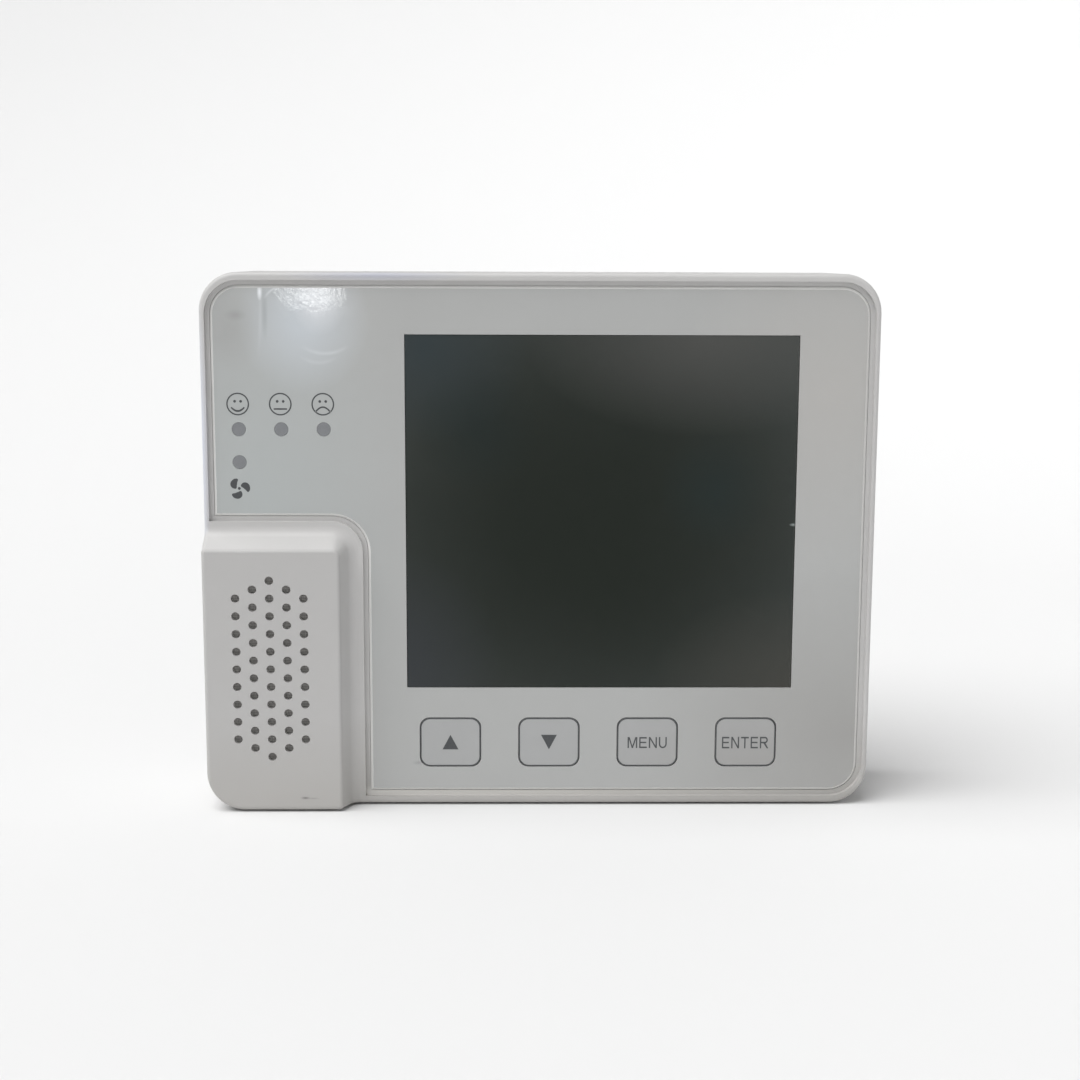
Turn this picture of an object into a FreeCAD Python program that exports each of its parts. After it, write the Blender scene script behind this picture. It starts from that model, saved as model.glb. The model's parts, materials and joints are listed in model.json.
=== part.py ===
"""Wall-mounted indoor air quality monitor, as an assembly of its separate pieces.

Frame: the origin is the centre of the wall plate's back face, which lies on the wall.
+X is to the right of a person facing the front, +Z is up, and the front faces -Y.
Depths are measured forward from the wall, so a point at depth d has Y = -d.
"""
import FreeCAD
import Part
import Sketcher
import math
import os
from FreeCAD import Rotation, Vector

TOLERANCE = 1e-4

SIZES = {
    # case
    "case_width": 149.2,
    "case_height": 119.6,
    "case_radius": 8.5,
    "case_wall": 2.0,
    "edge_round": 0.9,
    "seam_bevel": 0.35,
    # depths forward from the wall
    "back_depth": 0.6,
    "seam_depth": 9.0,
    "rear_wall_depth": 4.3,
    "board_depth": 17.3,
    "power_board_depth": 13.2,
    "sensor_board_depth": 19.0,
    "deck_back_depth": 25.5,
    "deck_depth": 27.5,
    "plate_depth": 29.0,
    "rim_depth": 29.8,
    "chamber_depth": 35.0,
    # rim, and the groove round the face plate
    "plate_margin_x": 2.25,
    "plate_margin_z": 2.8,
    "plate_radius": 6.4,
    "plate_gap": 0.05,
    "plate_bevel": 0.6,
    "groove_width": 1.1,
    "groove_depth": 1.2,
    # sensor chamber, in the lower left corner
    "plate_inner_x": -38.4,
    "plate_inner_z": 6.2,
    "plate_inner_radius": 8.0,
    "foot_x": -42.1,
    "foot_z": 2.6,
    "foot_radius": 4.6,
    "foot_fillet": 2.5,
    "brow_x": -44.4,
    "brow_z": -0.7,
    "brow_radius": 1.3,
    "brow_fillet": 0.8,
    "vent_x": -59.78,
    "vent_z": -27.33,
    "vent_pitch_x": 3.76,
    "vent_pitch_z": 4.0,
    "vent_diameter": 1.9,
    "chamber_wall": 1.2,
    "chamber_hollow_x": -46.1,
    "chamber_hollow_z": -3.4,
    "chamber_hollow_radius": 2.0,
    "filter_thickness": 0.6,
    "divider_x": -38.5,
    "divider_z": 5.9,
    "divider_wall": 1.4,
    # display
    "window_width": 86.9,
    "window_height": 79.35,
    "window_x": 13.5,
    "window_z": 6.74,
    "pane_gap": 0.05,
    "pane_ledge": 2.0,
    "pane_bevel": 0.15,
    "gasket_wall": 1.2,
    "glass_width": 94.0,
    "glass_height": 86.0,
    "glass_thickness": 2.8,
    "holder_width": 98.0,
    "holder_height": 90.0,
    "backlight_gap": 0.4,
    "strip_width": 2.0,
    "strip_inset": 1.8,
    # keys
    "key_x": -20.23,
    "key_z": -45.64,
    "key_pitch": 22.36,
    "key_width": 13.7,
    "key_height": 11.3,
    "key_radius": 2.3,
    "key_gap": 0.12,
    "key_lip": 0.8,
    "key_lip_thickness": 1.0,
    "key_round": 0.2,
    "plunger_radius": 1.75,
    "plunger_gap": 0.05,
    "switch_width": 6.0,
    "switch_height": 3.4,
    "plunger_tip": 2.0,
    "plunger_bore_floor": 1.5,
    # status lights
    "light_x": -66.5,
    "light_z": 25.52,
    "light_pitch": 9.34,
    "fan_light_drop": 7.3,
    "light_radius": 1.5,
    "light_gap": 0.05,
    "diode_width": 3.2,
    "diode_height": 2.8,
    "diode_thickness": 1.4,
    "pipe_gap": 0.3,
    "collar_rim": 0.7,
    "collar_thickness": 0.9,
    "shroud_margin": 3.5,
    "shroud_bore": 2.4,
    # fastenings
    "boss_x": 68.0,
    "boss_z": 53.0,
    "boss_radius": 3.2,
    "small_boss_radius": 2.6,
    "pilot_radius": 1.2,
    "screw_radius": 1.15,
    "head_radius": 2.2,
    "head_height": 1.5,
    "recess_width": 2.6,
    "recess_slot": 0.6,
    "recess_depth": 0.7,
    "hole_gap": 0.3,
    "case_pilot_length": 8.0,
    "case_screw_length": 12.0,
    "board_pilot_length": 5.0,
    "rear_pilot_length": 6.0,
    # boards
    "board_thickness": 1.6,
    "board_edge_gap": 2.5,
    "board_inner_x": -36.5,
    "board_inner_z": 9.0,
    "power_board_x": 36.0,
    "power_board_low": -44.0,
    "power_board_high": 30.0,
    "sensor_board_left": -70.5,
    "sensor_board_right": -42.0,
    "sensor_board_low": -46.0,
    # clearances
    "fit": 0.1,
    "overshoot": 1.0,
    # wall plate and its hooks
    "wall_plate_width": 120.0,
    "wall_plate_height": 94.0,
    "wall_plate_radius": 5.0,
    "wall_plate_thickness": 2.0,
    "wall_plate_gap": 0.5,
    "lift_travel": 6.0,
    "hook_x": 50.0,
    "hook_z": 28.0,
    "hook_width": 8.0,
    "hook_rise": 5.0,
    "hook_thickness": 1.6,
    "hook_gap": 0.3,
    "box_screw_pitch_x": 60.0,
    "box_screw_pitch_z": 83.5,
    "wall_screw_radius": 2.1,
    "wire_hole_width": 52.0,
    "wire_hole_height": 48.0,
    "wire_hole_radius": 4.0,
    "wire_window_x": 24.0,
    "wire_window_low": -21.0,
    "wire_window_high": 8.0,
    # wiring and ventilation
    "terminal_width": 44.0,
    "terminal_pitch": 5.4,
    "terminal_low": -4.0,
    "terminal_high": 6.0,
    "terminal_rise": 0.9,
    "terminal_bore": 2.0,
    "terminal_screw": 1.8,
    "terminal_screw_z": 1.5,
    "terminal_screw_drop": 0.8,
    "terminal_slot": 0.6,
    "terminal_slot_depth": 0.8,
    "terminal_bore_depth": 4.0,
    "wire_entry_width": 3.6,
    "wire_entry_height": 3.5,
    "wire_entry_end": 1.0,
    "side_vent_width": 1.6,
    "side_vent_pitch": 4.0,
    "side_vent_radius": 0.6,
    "side_vent_inset": 0.6,
    "side_vent_land": 0.9,
}

TERMINALS = 8
KEY_NAMES = ("up", "down", "menu", "enter")
VENT_ROWS = (9, 10, 11, 10, 9)
SIDE_VENTS = 21

# Each component's X range, its Z range, and its height off the board.
COMPONENTS = {
    "microcontroller": ((46.0, 58.0), (-1.0, 11.0), 1.4),
    "logic_chip_0": ((48.0, 56.0), (-17.5, -12.5), 1.4),
    "logic_chip_1": ((48.0, 56.0), (22.5, 27.5), 1.4),
    "logic_chip_2": ((-54.0, -46.0), (27.5, 32.5), 1.4),
    "clock_crystal": ((61.0, 64.2), (1.0, 9.0), 1.1),
    "power_supply_module": ((-27.0, 7.0), (10.0, 28.0), 8.2),
    "relay_0": ((-27.0, -7.0), (-36.0, -26.0), 8.0),
    "relay_1": ((-4.0, 16.0), (-36.0, -26.0), 8.0),
    "board_link_header": ((2.0, 24.0), (-42.0, -38.0), 2.5),
    "sensor_socket": ((-49.0, -43.5), (-14.0, -6.0), 2.4),
    "main_board_socket": ((-35.5, -31.0), (-14.0, -6.0), 2.1),
    "co2_sensor": ((-69.0, -52.0), (-44.0, -12.0), 9.8),
    "co2_sensor_filter": ((-66.0, -55.0), (-38.0, -18.0), 10.2),
    "temp_humidity_sensor": ((-49.5, -46.5), (-31.5, -28.5), 1.1),
}

# Each round component's centre, its radius, and its height off the board.
CAPACITORS = [((29.0, z), 3.15, 7.7) for z in (2.0, -6.0, -14.0)]
BUZZER = ((20.0, 18.0), 5.5, 6.5)
VOC_CAN = ((-58.0, -6.0), 3.9, 4.6)
VOC_FLANGE = ((-58.0, -6.0), 4.5, 0.6)

# Each lying cylinder's start, axis, radius and length.
VARISTOR = (Vector(-29.5, -9.0, 1.0), Vector(1, 0, 0), 4.0, 3.6)
FUSE = (Vector(-28.0, -11.2, -20.0), Vector(0, 0, 1), 1.8, 11.0)

# The flat cable's X range, Z range, and its two depths behind the main board's rear.
CABLE = ((-43.5, -35.5), (-13.0, -7.0), (0.6, 0.2))
CABLE_NOTCH = ((-41.0, -37.0), (-14.0, -6.0), (1.0, -0.3))
DUST_FILTER = ((-71.5, -47.5), (-49.0, -5.0))


class Size:
    """A length that carries its spreadsheet expression along with its value."""

    def __init__(self, text, value):
        self.text = text
        self.value = value

    def __add__(self, other):
        return combine(self, "+", other)

    def __radd__(self, other):
        return combine(other, "+", self)

    def __sub__(self, other):
        return combine(self, "-", other)

    def __rsub__(self, other):
        return combine(other, "-", self)

    def __mul__(self, other):
        return combine(self, "*", other)

    def __rmul__(self, other):
        return combine(other, "*", self)

    def __truediv__(self, other):
        return combine(self, "/", other)

    def __neg__(self):
        return combine(0, "-", self)


OPERATIONS = {
    "+": lambda a, b: a + b,
    "-": lambda a, b: a - b,
    "*": lambda a, b: a * b,
    "/": lambda a, b: a / b,
}


def as_size(number):
    """Give a plain number the same form as a spreadsheet size."""
    if isinstance(number, Size):
        return number
    return Size("(%r)" % float(number), float(number))


def combine(first, operator, second):
    """Join two sizes in one expression and work out its value."""
    a = as_size(first)
    b = as_size(second)
    text = "(%s %s %s)" % (a.text, operator, b.text)
    return Size(text, OPERATIONS[operator](a.value, b.value))


doc = FreeCAD.newDocument("air_quality_monitor")
sheet = doc.addObject("Spreadsheet::Sheet", "Sizes")
for row, (alias, number) in enumerate(SIZES.items(), start=1):
    sheet.set("A%d" % row, alias)
    sheet.set("B%d" % row, str(number))
    sheet.setAlias("B%d" % row, alias)
doc.recompute()


def size(alias):
    """Read one driving dimension from the sheet."""
    return Size("Sizes.%s" % alias, float(SIZES[alias]))


def bind(thing, path, length):
    """Tie a property to its spreadsheet expression."""
    thing.setExpression(path, as_size(length).text)


nodes = []


def keep(thing, label):
    """Mark an object as one of the pieces that are written out."""
    thing.Label = label
    nodes.append(thing)
    return thing


# ---------------------------------------------------------------- Part primitives

def block(name, x, depth, z):
    """A box between two X values, two depths and two Z values."""
    x_low, x_high = x
    near, far = depth
    z_low, z_high = z
    box = doc.addObject("Part::Box", name)
    bind(box, "Length", x_high - x_low)
    bind(box, "Width", far - near)
    bind(box, "Height", z_high - z_low)
    bind(box, "Placement.Base.x", x_low)
    bind(box, "Placement.Base.y", 0 - as_size(far))
    bind(box, "Placement.Base.z", z_low)
    return box


def span(middle, width):
    """The two ends of a length centred on a position."""
    middle = as_size(middle)
    return middle - as_size(width) / 2, middle + as_size(width) / 2


def rod(name, x, z, depth, radius):
    """A cylinder that points forward, from the first depth to the second."""
    near, far = depth
    cylinder = doc.addObject("Part::Cylinder", name)
    cylinder.Placement.Rotation = Rotation(Vector(1, 0, 0), 90)
    bind(cylinder, "Radius", radius)
    bind(cylinder, "Height", far - near)
    bind(cylinder, "Placement.Base.x", x)
    bind(cylinder, "Placement.Base.y", 0 - as_size(near))
    bind(cylinder, "Placement.Base.z", z)
    return cylinder


def fused(name, pieces):
    """One solid from several that touch."""
    fuse = doc.addObject("Part::MultiFuse", name)
    fuse.Shapes = pieces
    fuse.Refine = True
    return fuse


def cut(name, base, tool):
    """The base with the tool removed."""
    result = doc.addObject("Part::Cut", name)
    result.Base = base
    result.Tool = tool
    return result


def group(label, pieces):
    """Separate solids that share one node."""
    compound = doc.addObject("Part::Compound", label)
    compound.Links = pieces
    return keep(compound, label)


# ---------------------------------------------------------------- PartDesign bodies

def new_body(label):
    """An empty body that is kept as one of the pieces."""
    return keep(doc.addObject("PartDesign::Body", label), label)


def new_sketch(body, name, depth):
    """A sketch facing forward, at a depth from the wall: its axes are X and Z."""
    planes = [item for item in body.Origin.OriginFeatures if item.Role == "XZ_Plane"]
    sketch = body.newObject("Sketcher::SketchObject", name)
    sketch.AttachmentSupport = [(planes[0], "")]
    sketch.MapMode = "FlatFace"
    bind(sketch, "AttachmentOffset.Base.z", depth)
    return sketch


def fix(sketch, kind, places, length):
    """Add a dimension and tie it to its expression."""
    length = as_size(length)
    number = sketch.addConstraint(Sketcher.Constraint(kind, *places, length.value))
    bind(sketch, "Constraints[%d]" % number, length)


def add_circle(sketch, x, z, radius):
    """A circle at a fixed place."""
    x, z, radius = as_size(x), as_size(z), as_size(radius)
    centre = Vector(x.value, z.value, 0)
    circle = sketch.addGeometry(Part.Circle(centre, Vector(0, 0, 1), radius.value), False)
    fix(sketch, "Radius", (circle,), radius)
    fix(sketch, "DistanceX", (-1, 1, circle, 3), x)
    fix(sketch, "DistanceY", (-1, 1, circle, 3), z)


def add_outline(sketch, corners):
    """A closed right-angled outline: each corner is X, Z and a radius, 0 if sharp."""
    corners = [tuple(as_size(item) for item in corner) for corner in corners]
    count = len(corners)
    points = [Vector(x.value, z.value, 0) for x, z, radius in corners]
    steps = [(points[(i + 1) % count] - points[i]).normalize() for i in range(count)]
    lines = []
    for i, (x, z, radius) in enumerate(corners):
        after = corners[(i + 1) % count][2].value
        start = points[i] + steps[i] * radius.value
        end = points[(i + 1) % count] - steps[i] * after
        line = sketch.addGeometry(Part.LineSegment(start, end), False)
        lines.append(line)
        if abs(steps[i].x) < TOLERANCE:
            sketch.addConstraint(Sketcher.Constraint("Vertical", line))
            fix(sketch, "DistanceX", (-1, 1, line, 1), x)
        else:
            sketch.addConstraint(Sketcher.Constraint("Horizontal", line))
            fix(sketch, "DistanceY", (-1, 1, line, 1), z)
    for i, (x, z, radius) in enumerate(corners):
        join_corner(sketch, lines[i - 1], lines[i], points[i], steps[i - 1], steps[i], radius)


def join_corner(sketch, before, after, point, step_in, step_out, radius):
    """Close one corner of an outline, with an arc where it has a radius."""
    if radius.value < TOLERANCE:
        sketch.addConstraint(Sketcher.Constraint("Coincident", before, 2, after, 1))
        return
    centre = point + (step_out - step_in) * radius.value
    first = point - step_in * radius.value - centre
    last = point + step_out * radius.value - centre
    left_turn = step_in.cross(step_out).z > 0
    if not left_turn:
        first, last = last, first
    start = math.atan2(first.y, first.x)
    end = math.atan2(last.y, last.x)
    circle = Part.Circle(centre, Vector(0, 0, 1), radius.value)
    arc = sketch.addGeometry(Part.ArcOfCircle(circle, start, end), False)
    near, far = (1, 2) if left_turn else (2, 1)
    sketch.addConstraint(Sketcher.Constraint("Tangent", before, 2, arc, near))
    sketch.addConstraint(Sketcher.Constraint("Tangent", arc, far, after, 1))
    fix(sketch, "Radius", (arc,), radius)


def rectangle(x, z, radius):
    """The corners of a rectangle between two X values and two Z values."""
    x_low, x_high = x
    z_low, z_high = z
    return [(x_low, z_low, radius), (x_high, z_low, radius),
            (x_high, z_high, radius), (x_low, z_high, radius)]


def outline_sketch(body, name, depth, corners):
    """A sketch that holds one outline."""
    sketch = new_sketch(body, name, depth)
    add_outline(sketch, corners)
    return sketch


def circle_sketch(body, name, depth, places, radius):
    """A sketch that holds equal circles."""
    sketch = new_sketch(body, name, depth)
    for x, z in places:
        add_circle(sketch, x, z, radius)
    return sketch


def extrude(body, kind, name, sketch, length, forward):
    """Pad or pocket a sketch, forward (away from the wall) or backward."""
    before = body.Shape.Volume if body.Tip else 0.0
    feature = body.newObject("PartDesign::" + kind, name)
    feature.Profile = sketch
    bind(feature, "Length", length)
    feature.Reversed = forward if kind == "Pocket" else not forward
    doc.recompute()
    change = feature.Shape.Volume - before
    if (change > 0) != (kind == "Pad") or abs(change) < TOLERANCE:
        raise RuntimeError("%s changed nothing" % name)
    return feature


def pad(body, name, sketch, length, forward=True):
    return extrude(body, "Pad", name, sketch, length, forward)


def pocket(body, name, sketch, length, forward=True):
    return extrude(body, "Pocket", name, sketch, length, forward)


def repeat(body, name, feature, sketch, axis, length, times):
    """Copy a feature along one of its sketch's axes."""
    pattern = body.newObject("PartDesign::LinearPattern", name)
    pattern.Originals = [feature]
    pattern.Direction = (sketch, [axis])
    bind(pattern, "Length", length)
    pattern.Occurrences = times
    body.Tip = pattern
    doc.recompute()
    return pattern


def soften(body, kind, name, length, wanted):
    """Fillet or chamfer the edges of the body's last feature that the test picks."""
    base = body.Tip
    edges = enumerate(base.Shape.Edges, start=1)
    names = ["Edge%d" % number for number, edge in edges if wanted(edge)]
    feature = body.newObject("PartDesign::" + kind, name)
    feature.Base = (base, names)
    bind(feature, "Radius" if kind == "Fillet" else "Size", length)
    doc.recompute()
    return feature


def depth_range(edge):
    """The nearest and farthest depths of an edge."""
    box = edge.BoundBox
    return -box.YMax, -box.YMin


def at_depth(edge, depth):
    """True for an edge that lies in the plane at this depth."""
    near, far = depth_range(edge)
    return abs(near - depth.value) < TOLERANCE and abs(far - depth.value) < TOLERANCE


def middle_of(edge):
    """The midpoint of an edge."""
    return edge.valueAt((edge.FirstParameter + edge.LastParameter) / 2)


# ---------------------------------------------------------------- shared positions

half_width = size("case_width") / 2
half_height = size("case_height") / 2
inner_width = half_width - size("case_wall")
inner_height = half_height - size("case_wall")
inner_radius = size("case_radius") - size("case_wall")
plate_x = half_width - size("plate_margin_x")
plate_z = half_height - size("plate_margin_z")
fit = size("fit")
overshoot = size("overshoot")

key_places = [(size("key_x") + size("key_pitch") * i, size("key_z")) for i in range(4)]
light_places = [(size("light_x") + size("light_pitch") * i, size("light_z")) for i in range(3)]
light_places.append((size("light_x"), size("light_z") - size("fan_light_drop")))
case_screws = [(size("boss_x") * i, size("boss_z") * j) for i in (-1, 1) for j in (-1, 1)]
board_screws = [(-61.0, 50.0), (-50.0, 11.8), (-31.0, -52.0), (66.5, 38.0), (66.5, -34.0)]
power_screws = [(i * 32.0, j) for i in (-1, 1) for j in (-40.0, 26.0)]
sensor_screws = [(-67.0, -2.5), (-45.5, -43.0)]
hook_places = [(size("hook_x") * i, size("hook_z") * j) for i in (-1, 1) for j in (-1, 1)]

board_front = size("board_depth") + size("board_thickness")
power_front = size("power_board_depth") + size("board_thickness")
sensor_front = size("sensor_board_depth") + size("board_thickness")


def plate_outline(grow):
    """The L-shaped outline of the face plate, grown by a gap all round."""
    low_x = size("plate_inner_x") - grow
    low_z = size("plate_inner_z") - grow
    right = plate_x + grow
    top = plate_z + grow
    outer = size("plate_radius") + grow
    inner = size("plate_inner_radius") - grow
    return [(-right, low_z, 0), (low_x, low_z, inner), (low_x, -top, 0),
            (right, -top, outer), (right, top, outer), (-right, top, outer)]


def around_chamber(right, top, corner):
    """The outline of all that lies right of and above the chamber, past the case."""
    far_x = half_width + overshoot
    far_z = half_height + overshoot
    return [(right, -far_z, 0), (far_x, -far_z, 0), (far_x, far_z, 0),
            (-far_x, far_z, 0), (-far_x, top, 0), (right, top, corner)]


def inner_case_outline():
    """The outline of the space inside the case walls."""
    return rectangle((-inner_width, inner_width), (-inner_height, inner_height), inner_radius)


def outer_case_outline():
    """The outline of the case."""
    return rectangle((-half_width, half_width), (-half_height, half_height),
                     size("case_radius"))


wire_window = rectangle((-size("wire_window_x"), size("wire_window_x")),
                        (size("wire_window_low"), size("wire_window_high")), 1)


def key_outline(place, grow, radius):
    """One key's outline, grown by a gap all round."""
    x, z = place
    return rectangle(span(x, size("key_width") + grow * 2),
                     span(z, size("key_height") + grow * 2), radius)


def vent_places():
    """The centres of the chamber's vent holes, in staggered columns."""
    places = []
    for column, rows in enumerate(VENT_ROWS):
        x = size("vent_x") + size("vent_pitch_x") * (column - (len(VENT_ROWS) - 1) / 2)
        for i in range(rows):
            places.append((x, size("vent_z") + size("vent_pitch_z") * (i - (rows - 1) / 2)))
    return places


# ---------------------------------------------------------------- front housing

def make_front_housing():
    body = new_body("front_housing")
    rim = size("rim_depth")
    seam = size("seam_depth")
    shell = outline_sketch(body, "case_outline", seam, outer_case_outline())
    pad(body, "case_block", shell, size("chamber_depth") - seam)

    foot = outline_sketch(body, "chamber_foot", rim, around_chamber(
        size("foot_x"), size("foot_z"), size("foot_radius")))
    brow = outline_sketch(body, "chamber_brow", size("chamber_depth"), around_chamber(
        size("brow_x"), size("brow_z"), size("brow_radius")))
    step = body.newObject("PartDesign::SubtractiveLoft", "chamber_step")
    step.Profile = foot
    step.Sections = [brow]
    step.Ruled = True
    doc.recompute()
    soften_front(body)

    groove = outline_sketch(body, "plate_groove_outline", rim,
                            plate_outline(size("groove_width")))
    pocket(body, "plate_groove", groove, size("groove_depth"), forward=False)
    recess = outline_sketch(body, "plate_seat_outline", rim, plate_outline(size("plate_gap")))
    pocket(body, "plate_seat", recess, rim - size("deck_depth"), forward=False)

    hollow = outline_sketch(body, "hollow_outline", seam, inner_case_outline())
    pocket(body, "hollow", hollow, size("deck_back_depth") - seam)
    right = size("chamber_hollow_x")
    top = size("chamber_hollow_z")
    chamber = outline_sketch(body, "chamber_hollow_outline", size("deck_back_depth"), [
        (-inner_width, -inner_height, inner_radius), (right, -inner_height, 0),
        (right, top, size("chamber_hollow_radius")), (-inner_width, top, 0)])
    chamber_inside = size("chamber_depth") - size("chamber_wall")
    pocket(body, "chamber_hollow", chamber, chamber_inside - size("deck_back_depth"))
    cut_front_openings(body)
    add_front_bosses(body)
    return body


def is_chamber_edge(edge, depth):
    """True for the chamber's top and right edges at one depth."""
    middle = middle_of(edge)
    inside_x = middle.x > -half_width.value + TOLERANCE
    inside_z = middle.z > -half_height.value + TOLERANCE
    near_chamber = middle.x < size("plate_inner_x").value and middle.z < size("plate_inner_z").value
    reach = size("case_radius").value
    corner = middle.x < -half_width.value + reach and middle.z < -half_height.value + reach
    return at_depth(edge, depth) and inside_x and inside_z and near_chamber and not corner


def is_front_rim_edge(edge):
    """True for the case's own front edge, over the rim and the chamber alike."""
    near, far = depth_range(edge)
    middle = middle_of(edge)
    low_depth = size("rim_depth").value - TOLERANCE
    radius = size("case_radius").value
    x_out = abs(abs(middle.x) - half_width.value) < TOLERANCE
    z_out = abs(abs(middle.z) - half_height.value) < TOLERANCE
    reach = math.hypot(abs(middle.x) - half_width.value + radius,
                       abs(middle.z) - half_height.value + radius)
    corner = abs(middle.x) > half_width.value - radius and abs(middle.z) > half_height.value - radius
    on_corner = corner and abs(reach - radius) < 0.01
    along_wall = near < far - TOLERANCE and on_corner
    return near > low_depth and (x_out or z_out or on_corner) and not along_wall


def soften_front(body):
    """Round the chamber's foot and brow, the case's front edge, and bevel the seam."""
    soften(body, "Fillet", "foot_fillet", size("foot_fillet"),
           lambda edge: is_chamber_edge(edge, size("rim_depth")))
    soften(body, "Fillet", "brow_fillet", size("brow_fillet"),
           lambda edge: is_chamber_edge(edge, size("chamber_depth")))
    soften(body, "Fillet", "front_edge_round", size("edge_round"), is_front_rim_edge)
    soften(body, "Chamfer", "seam_bevel", size("seam_bevel"),
           lambda edge: at_depth(edge, size("seam_depth")))


def cut_front_openings(body):
    """Cut the display, key, light and vent openings through the front walls."""
    deck = size("deck_depth")
    through = deck - size("deck_back_depth")
    ledge = size("pane_ledge") * 2
    window = outline_sketch(body, "window_outline", deck, rectangle(
        span(size("window_x"), size("window_width") - ledge),
        span(size("window_z"), size("window_height") - ledge), 0))
    pocket(body, "window_opening", window, through, forward=False)
    key = outline_sketch(body, "key_opening_outline", deck,
                         key_outline(key_places[0], size("key_gap"), size("key_radius")))
    first = pocket(body, "key_opening", key, through, forward=False)
    repeat(body, "key_openings", first, key, "H_Axis", size("key_pitch") * 3, 4)
    lights = circle_sketch(body, "light_hole_circles", deck, light_places,
                           size("light_radius") + size("light_gap"))
    pocket(body, "light_holes", lights, through, forward=False)
    vents = circle_sketch(body, "vent_circles", size("chamber_depth"), vent_places(),
                          size("vent_diameter") / 2)
    pocket(body, "vents", vents, size("chamber_wall"), forward=False)


def add_front_bosses(body):
    """Add the bosses that take the case screws and the main board's screws."""
    root = size("deck_back_depth") + size("case_wall") / 2
    seam = size("seam_depth")
    deep_root = size("chamber_depth") - size("chamber_wall") / 2
    chamber_corner = [case_screws[0]]
    other_corners = case_screws[1:]
    low = circle_sketch(body, "chamber_boss_circle", deep_root, chamber_corner,
                        size("boss_radius"))
    pad(body, "chamber_boss", low, deep_root - seam, forward=False)
    corners = circle_sketch(body, "case_boss_circles", root, other_corners, size("boss_radius"))
    pad(body, "case_bosses", corners, root - seam, forward=False)
    boards = circle_sketch(body, "board_boss_circles", root, board_screws,
                           size("small_boss_radius"))
    pad(body, "board_bosses", boards, root - board_front, forward=False)
    case_pilots = circle_sketch(body, "case_pilot_circles", seam, case_screws,
                                size("pilot_radius"))
    pocket(body, "case_pilots", case_pilots, size("case_pilot_length"))
    board_pilots = circle_sketch(body, "board_pilot_circles", board_front, board_screws,
                                 size("pilot_radius"))
    pocket(body, "board_pilots", board_pilots, size("board_pilot_length"))


# ---------------------------------------------------------------- rear housing

def make_rear_housing():
    body = new_body("rear_housing")
    back = size("back_depth")
    seam = size("seam_depth")
    wall = size("rear_wall_depth")
    shell = outline_sketch(body, "rear_outline", back, outer_case_outline())
    pad(body, "rear_block", shell, seam - back)
    soften(body, "Fillet", "back_edge_round", size("edge_round"),
           lambda edge: at_depth(edge, back))
    soften(body, "Chamfer", "rear_seam_bevel", size("seam_bevel"),
           lambda edge: at_depth(edge, seam))
    hollow = outline_sketch(body, "rear_hollow_outline", seam, inner_case_outline())
    pocket(body, "rear_hollow", hollow, seam - wall, forward=False)

    gap = size("wall_plate_gap")
    seat = outline_sketch(body, "wall_plate_seat_outline", back, rectangle(
        span(0, size("wall_plate_width") + gap * 2),
        (-size("wall_plate_height") / 2 - size("lift_travel") - gap,
         size("wall_plate_height") / 2 + gap), size("wall_plate_radius")))
    seat_depth = size("wall_plate_thickness") + size("hook_gap") - back
    pocket(body, "wall_plate_seat", seat, seat_depth)
    slots = new_sketch(body, "hook_slot_outlines", wall)
    for x, z in hook_places:
        top = z + size("hook_thickness") + size("plunger_gap")
        add_outline(slots, rectangle(span(x, size("hook_width") + gap * 2),
                                     (z - size("lift_travel") - gap, top), 0))
    pocket(body, "hook_slots", slots, size("case_wall"), forward=False)
    window = outline_sketch(body, "wire_window_outline", wall, wire_window)
    pocket(body, "wire_window", window, size("case_wall"), forward=False)
    add_rear_bosses(body)
    cut_side_vents(body, "top_vent", half_height + overshoot, forward=False)
    cut_side_vents(body, "bottom_vent", -half_height - overshoot, forward=True)
    return body


def add_rear_bosses(body):
    """Add the screw columns and the board bosses, and drill them."""
    wall = size("rear_wall_depth")
    root = wall - size("case_wall") / 2
    seam = size("seam_depth")
    back = size("back_depth")
    columns = circle_sketch(body, "screw_column_circles", root, case_screws,
                            size("boss_radius"))
    pad(body, "screw_columns", columns, seam - root)
    for kind, places, top in (("power", power_screws, size("power_board_depth")),
                              ("sensor", sensor_screws, size("sensor_board_depth"))):
        circles = circle_sketch(body, kind + "_boss_circles", root, places,
                                size("small_boss_radius"))
        pad(body, kind + "_bosses", circles, top - root)
        pilots = circle_sketch(body, kind + "_pilot_circles", top, places,
                               size("pilot_radius"))
        pocket(body, kind + "_pilots", pilots, size("rear_pilot_length"), forward=False)
    gap = size("hole_gap")
    holes = circle_sketch(body, "screw_hole_circles", seam, case_screws,
                          size("screw_radius") + gap)
    pocket(body, "screw_holes", holes, seam - back, forward=False)
    sinks = circle_sketch(body, "screw_sink_circles", back, case_screws,
                          size("head_radius") + gap)
    pocket(body, "screw_sinks", sinks, size("head_height") + gap)


def cut_side_vents(body, name, z, forward):
    """Cut a row of slots through the case's top or bottom side."""
    planes = [item for item in body.Origin.OriginFeatures if item.Role == "XY_Plane"]
    sketch = body.newObject("Sketcher::SketchObject", name + "_outline")
    sketch.AttachmentSupport = [(planes[0], "")]
    sketch.MapMode = "FlatFace"
    bind(sketch, "AttachmentOffset.Base.z", z)
    near = size("rear_wall_depth") + size("side_vent_inset")
    far = size("seam_depth") - size("side_vent_land")
    first_x = -(size("side_vent_pitch") * (SIDE_VENTS - 1)) / 2
    add_outline(sketch, rectangle(span(first_x, size("side_vent_width")),
                                  (-far, -near), size("side_vent_radius")))
    slot = pocket(body, name, sketch, size("case_wall") + overshoot * 1.5, forward=forward)
    repeat(body, name + "s", slot, sketch, "H_Axis",
           size("side_vent_pitch") * (SIDE_VENTS - 1), SIDE_VENTS)


# ---------------------------------------------------------------- front face

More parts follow.
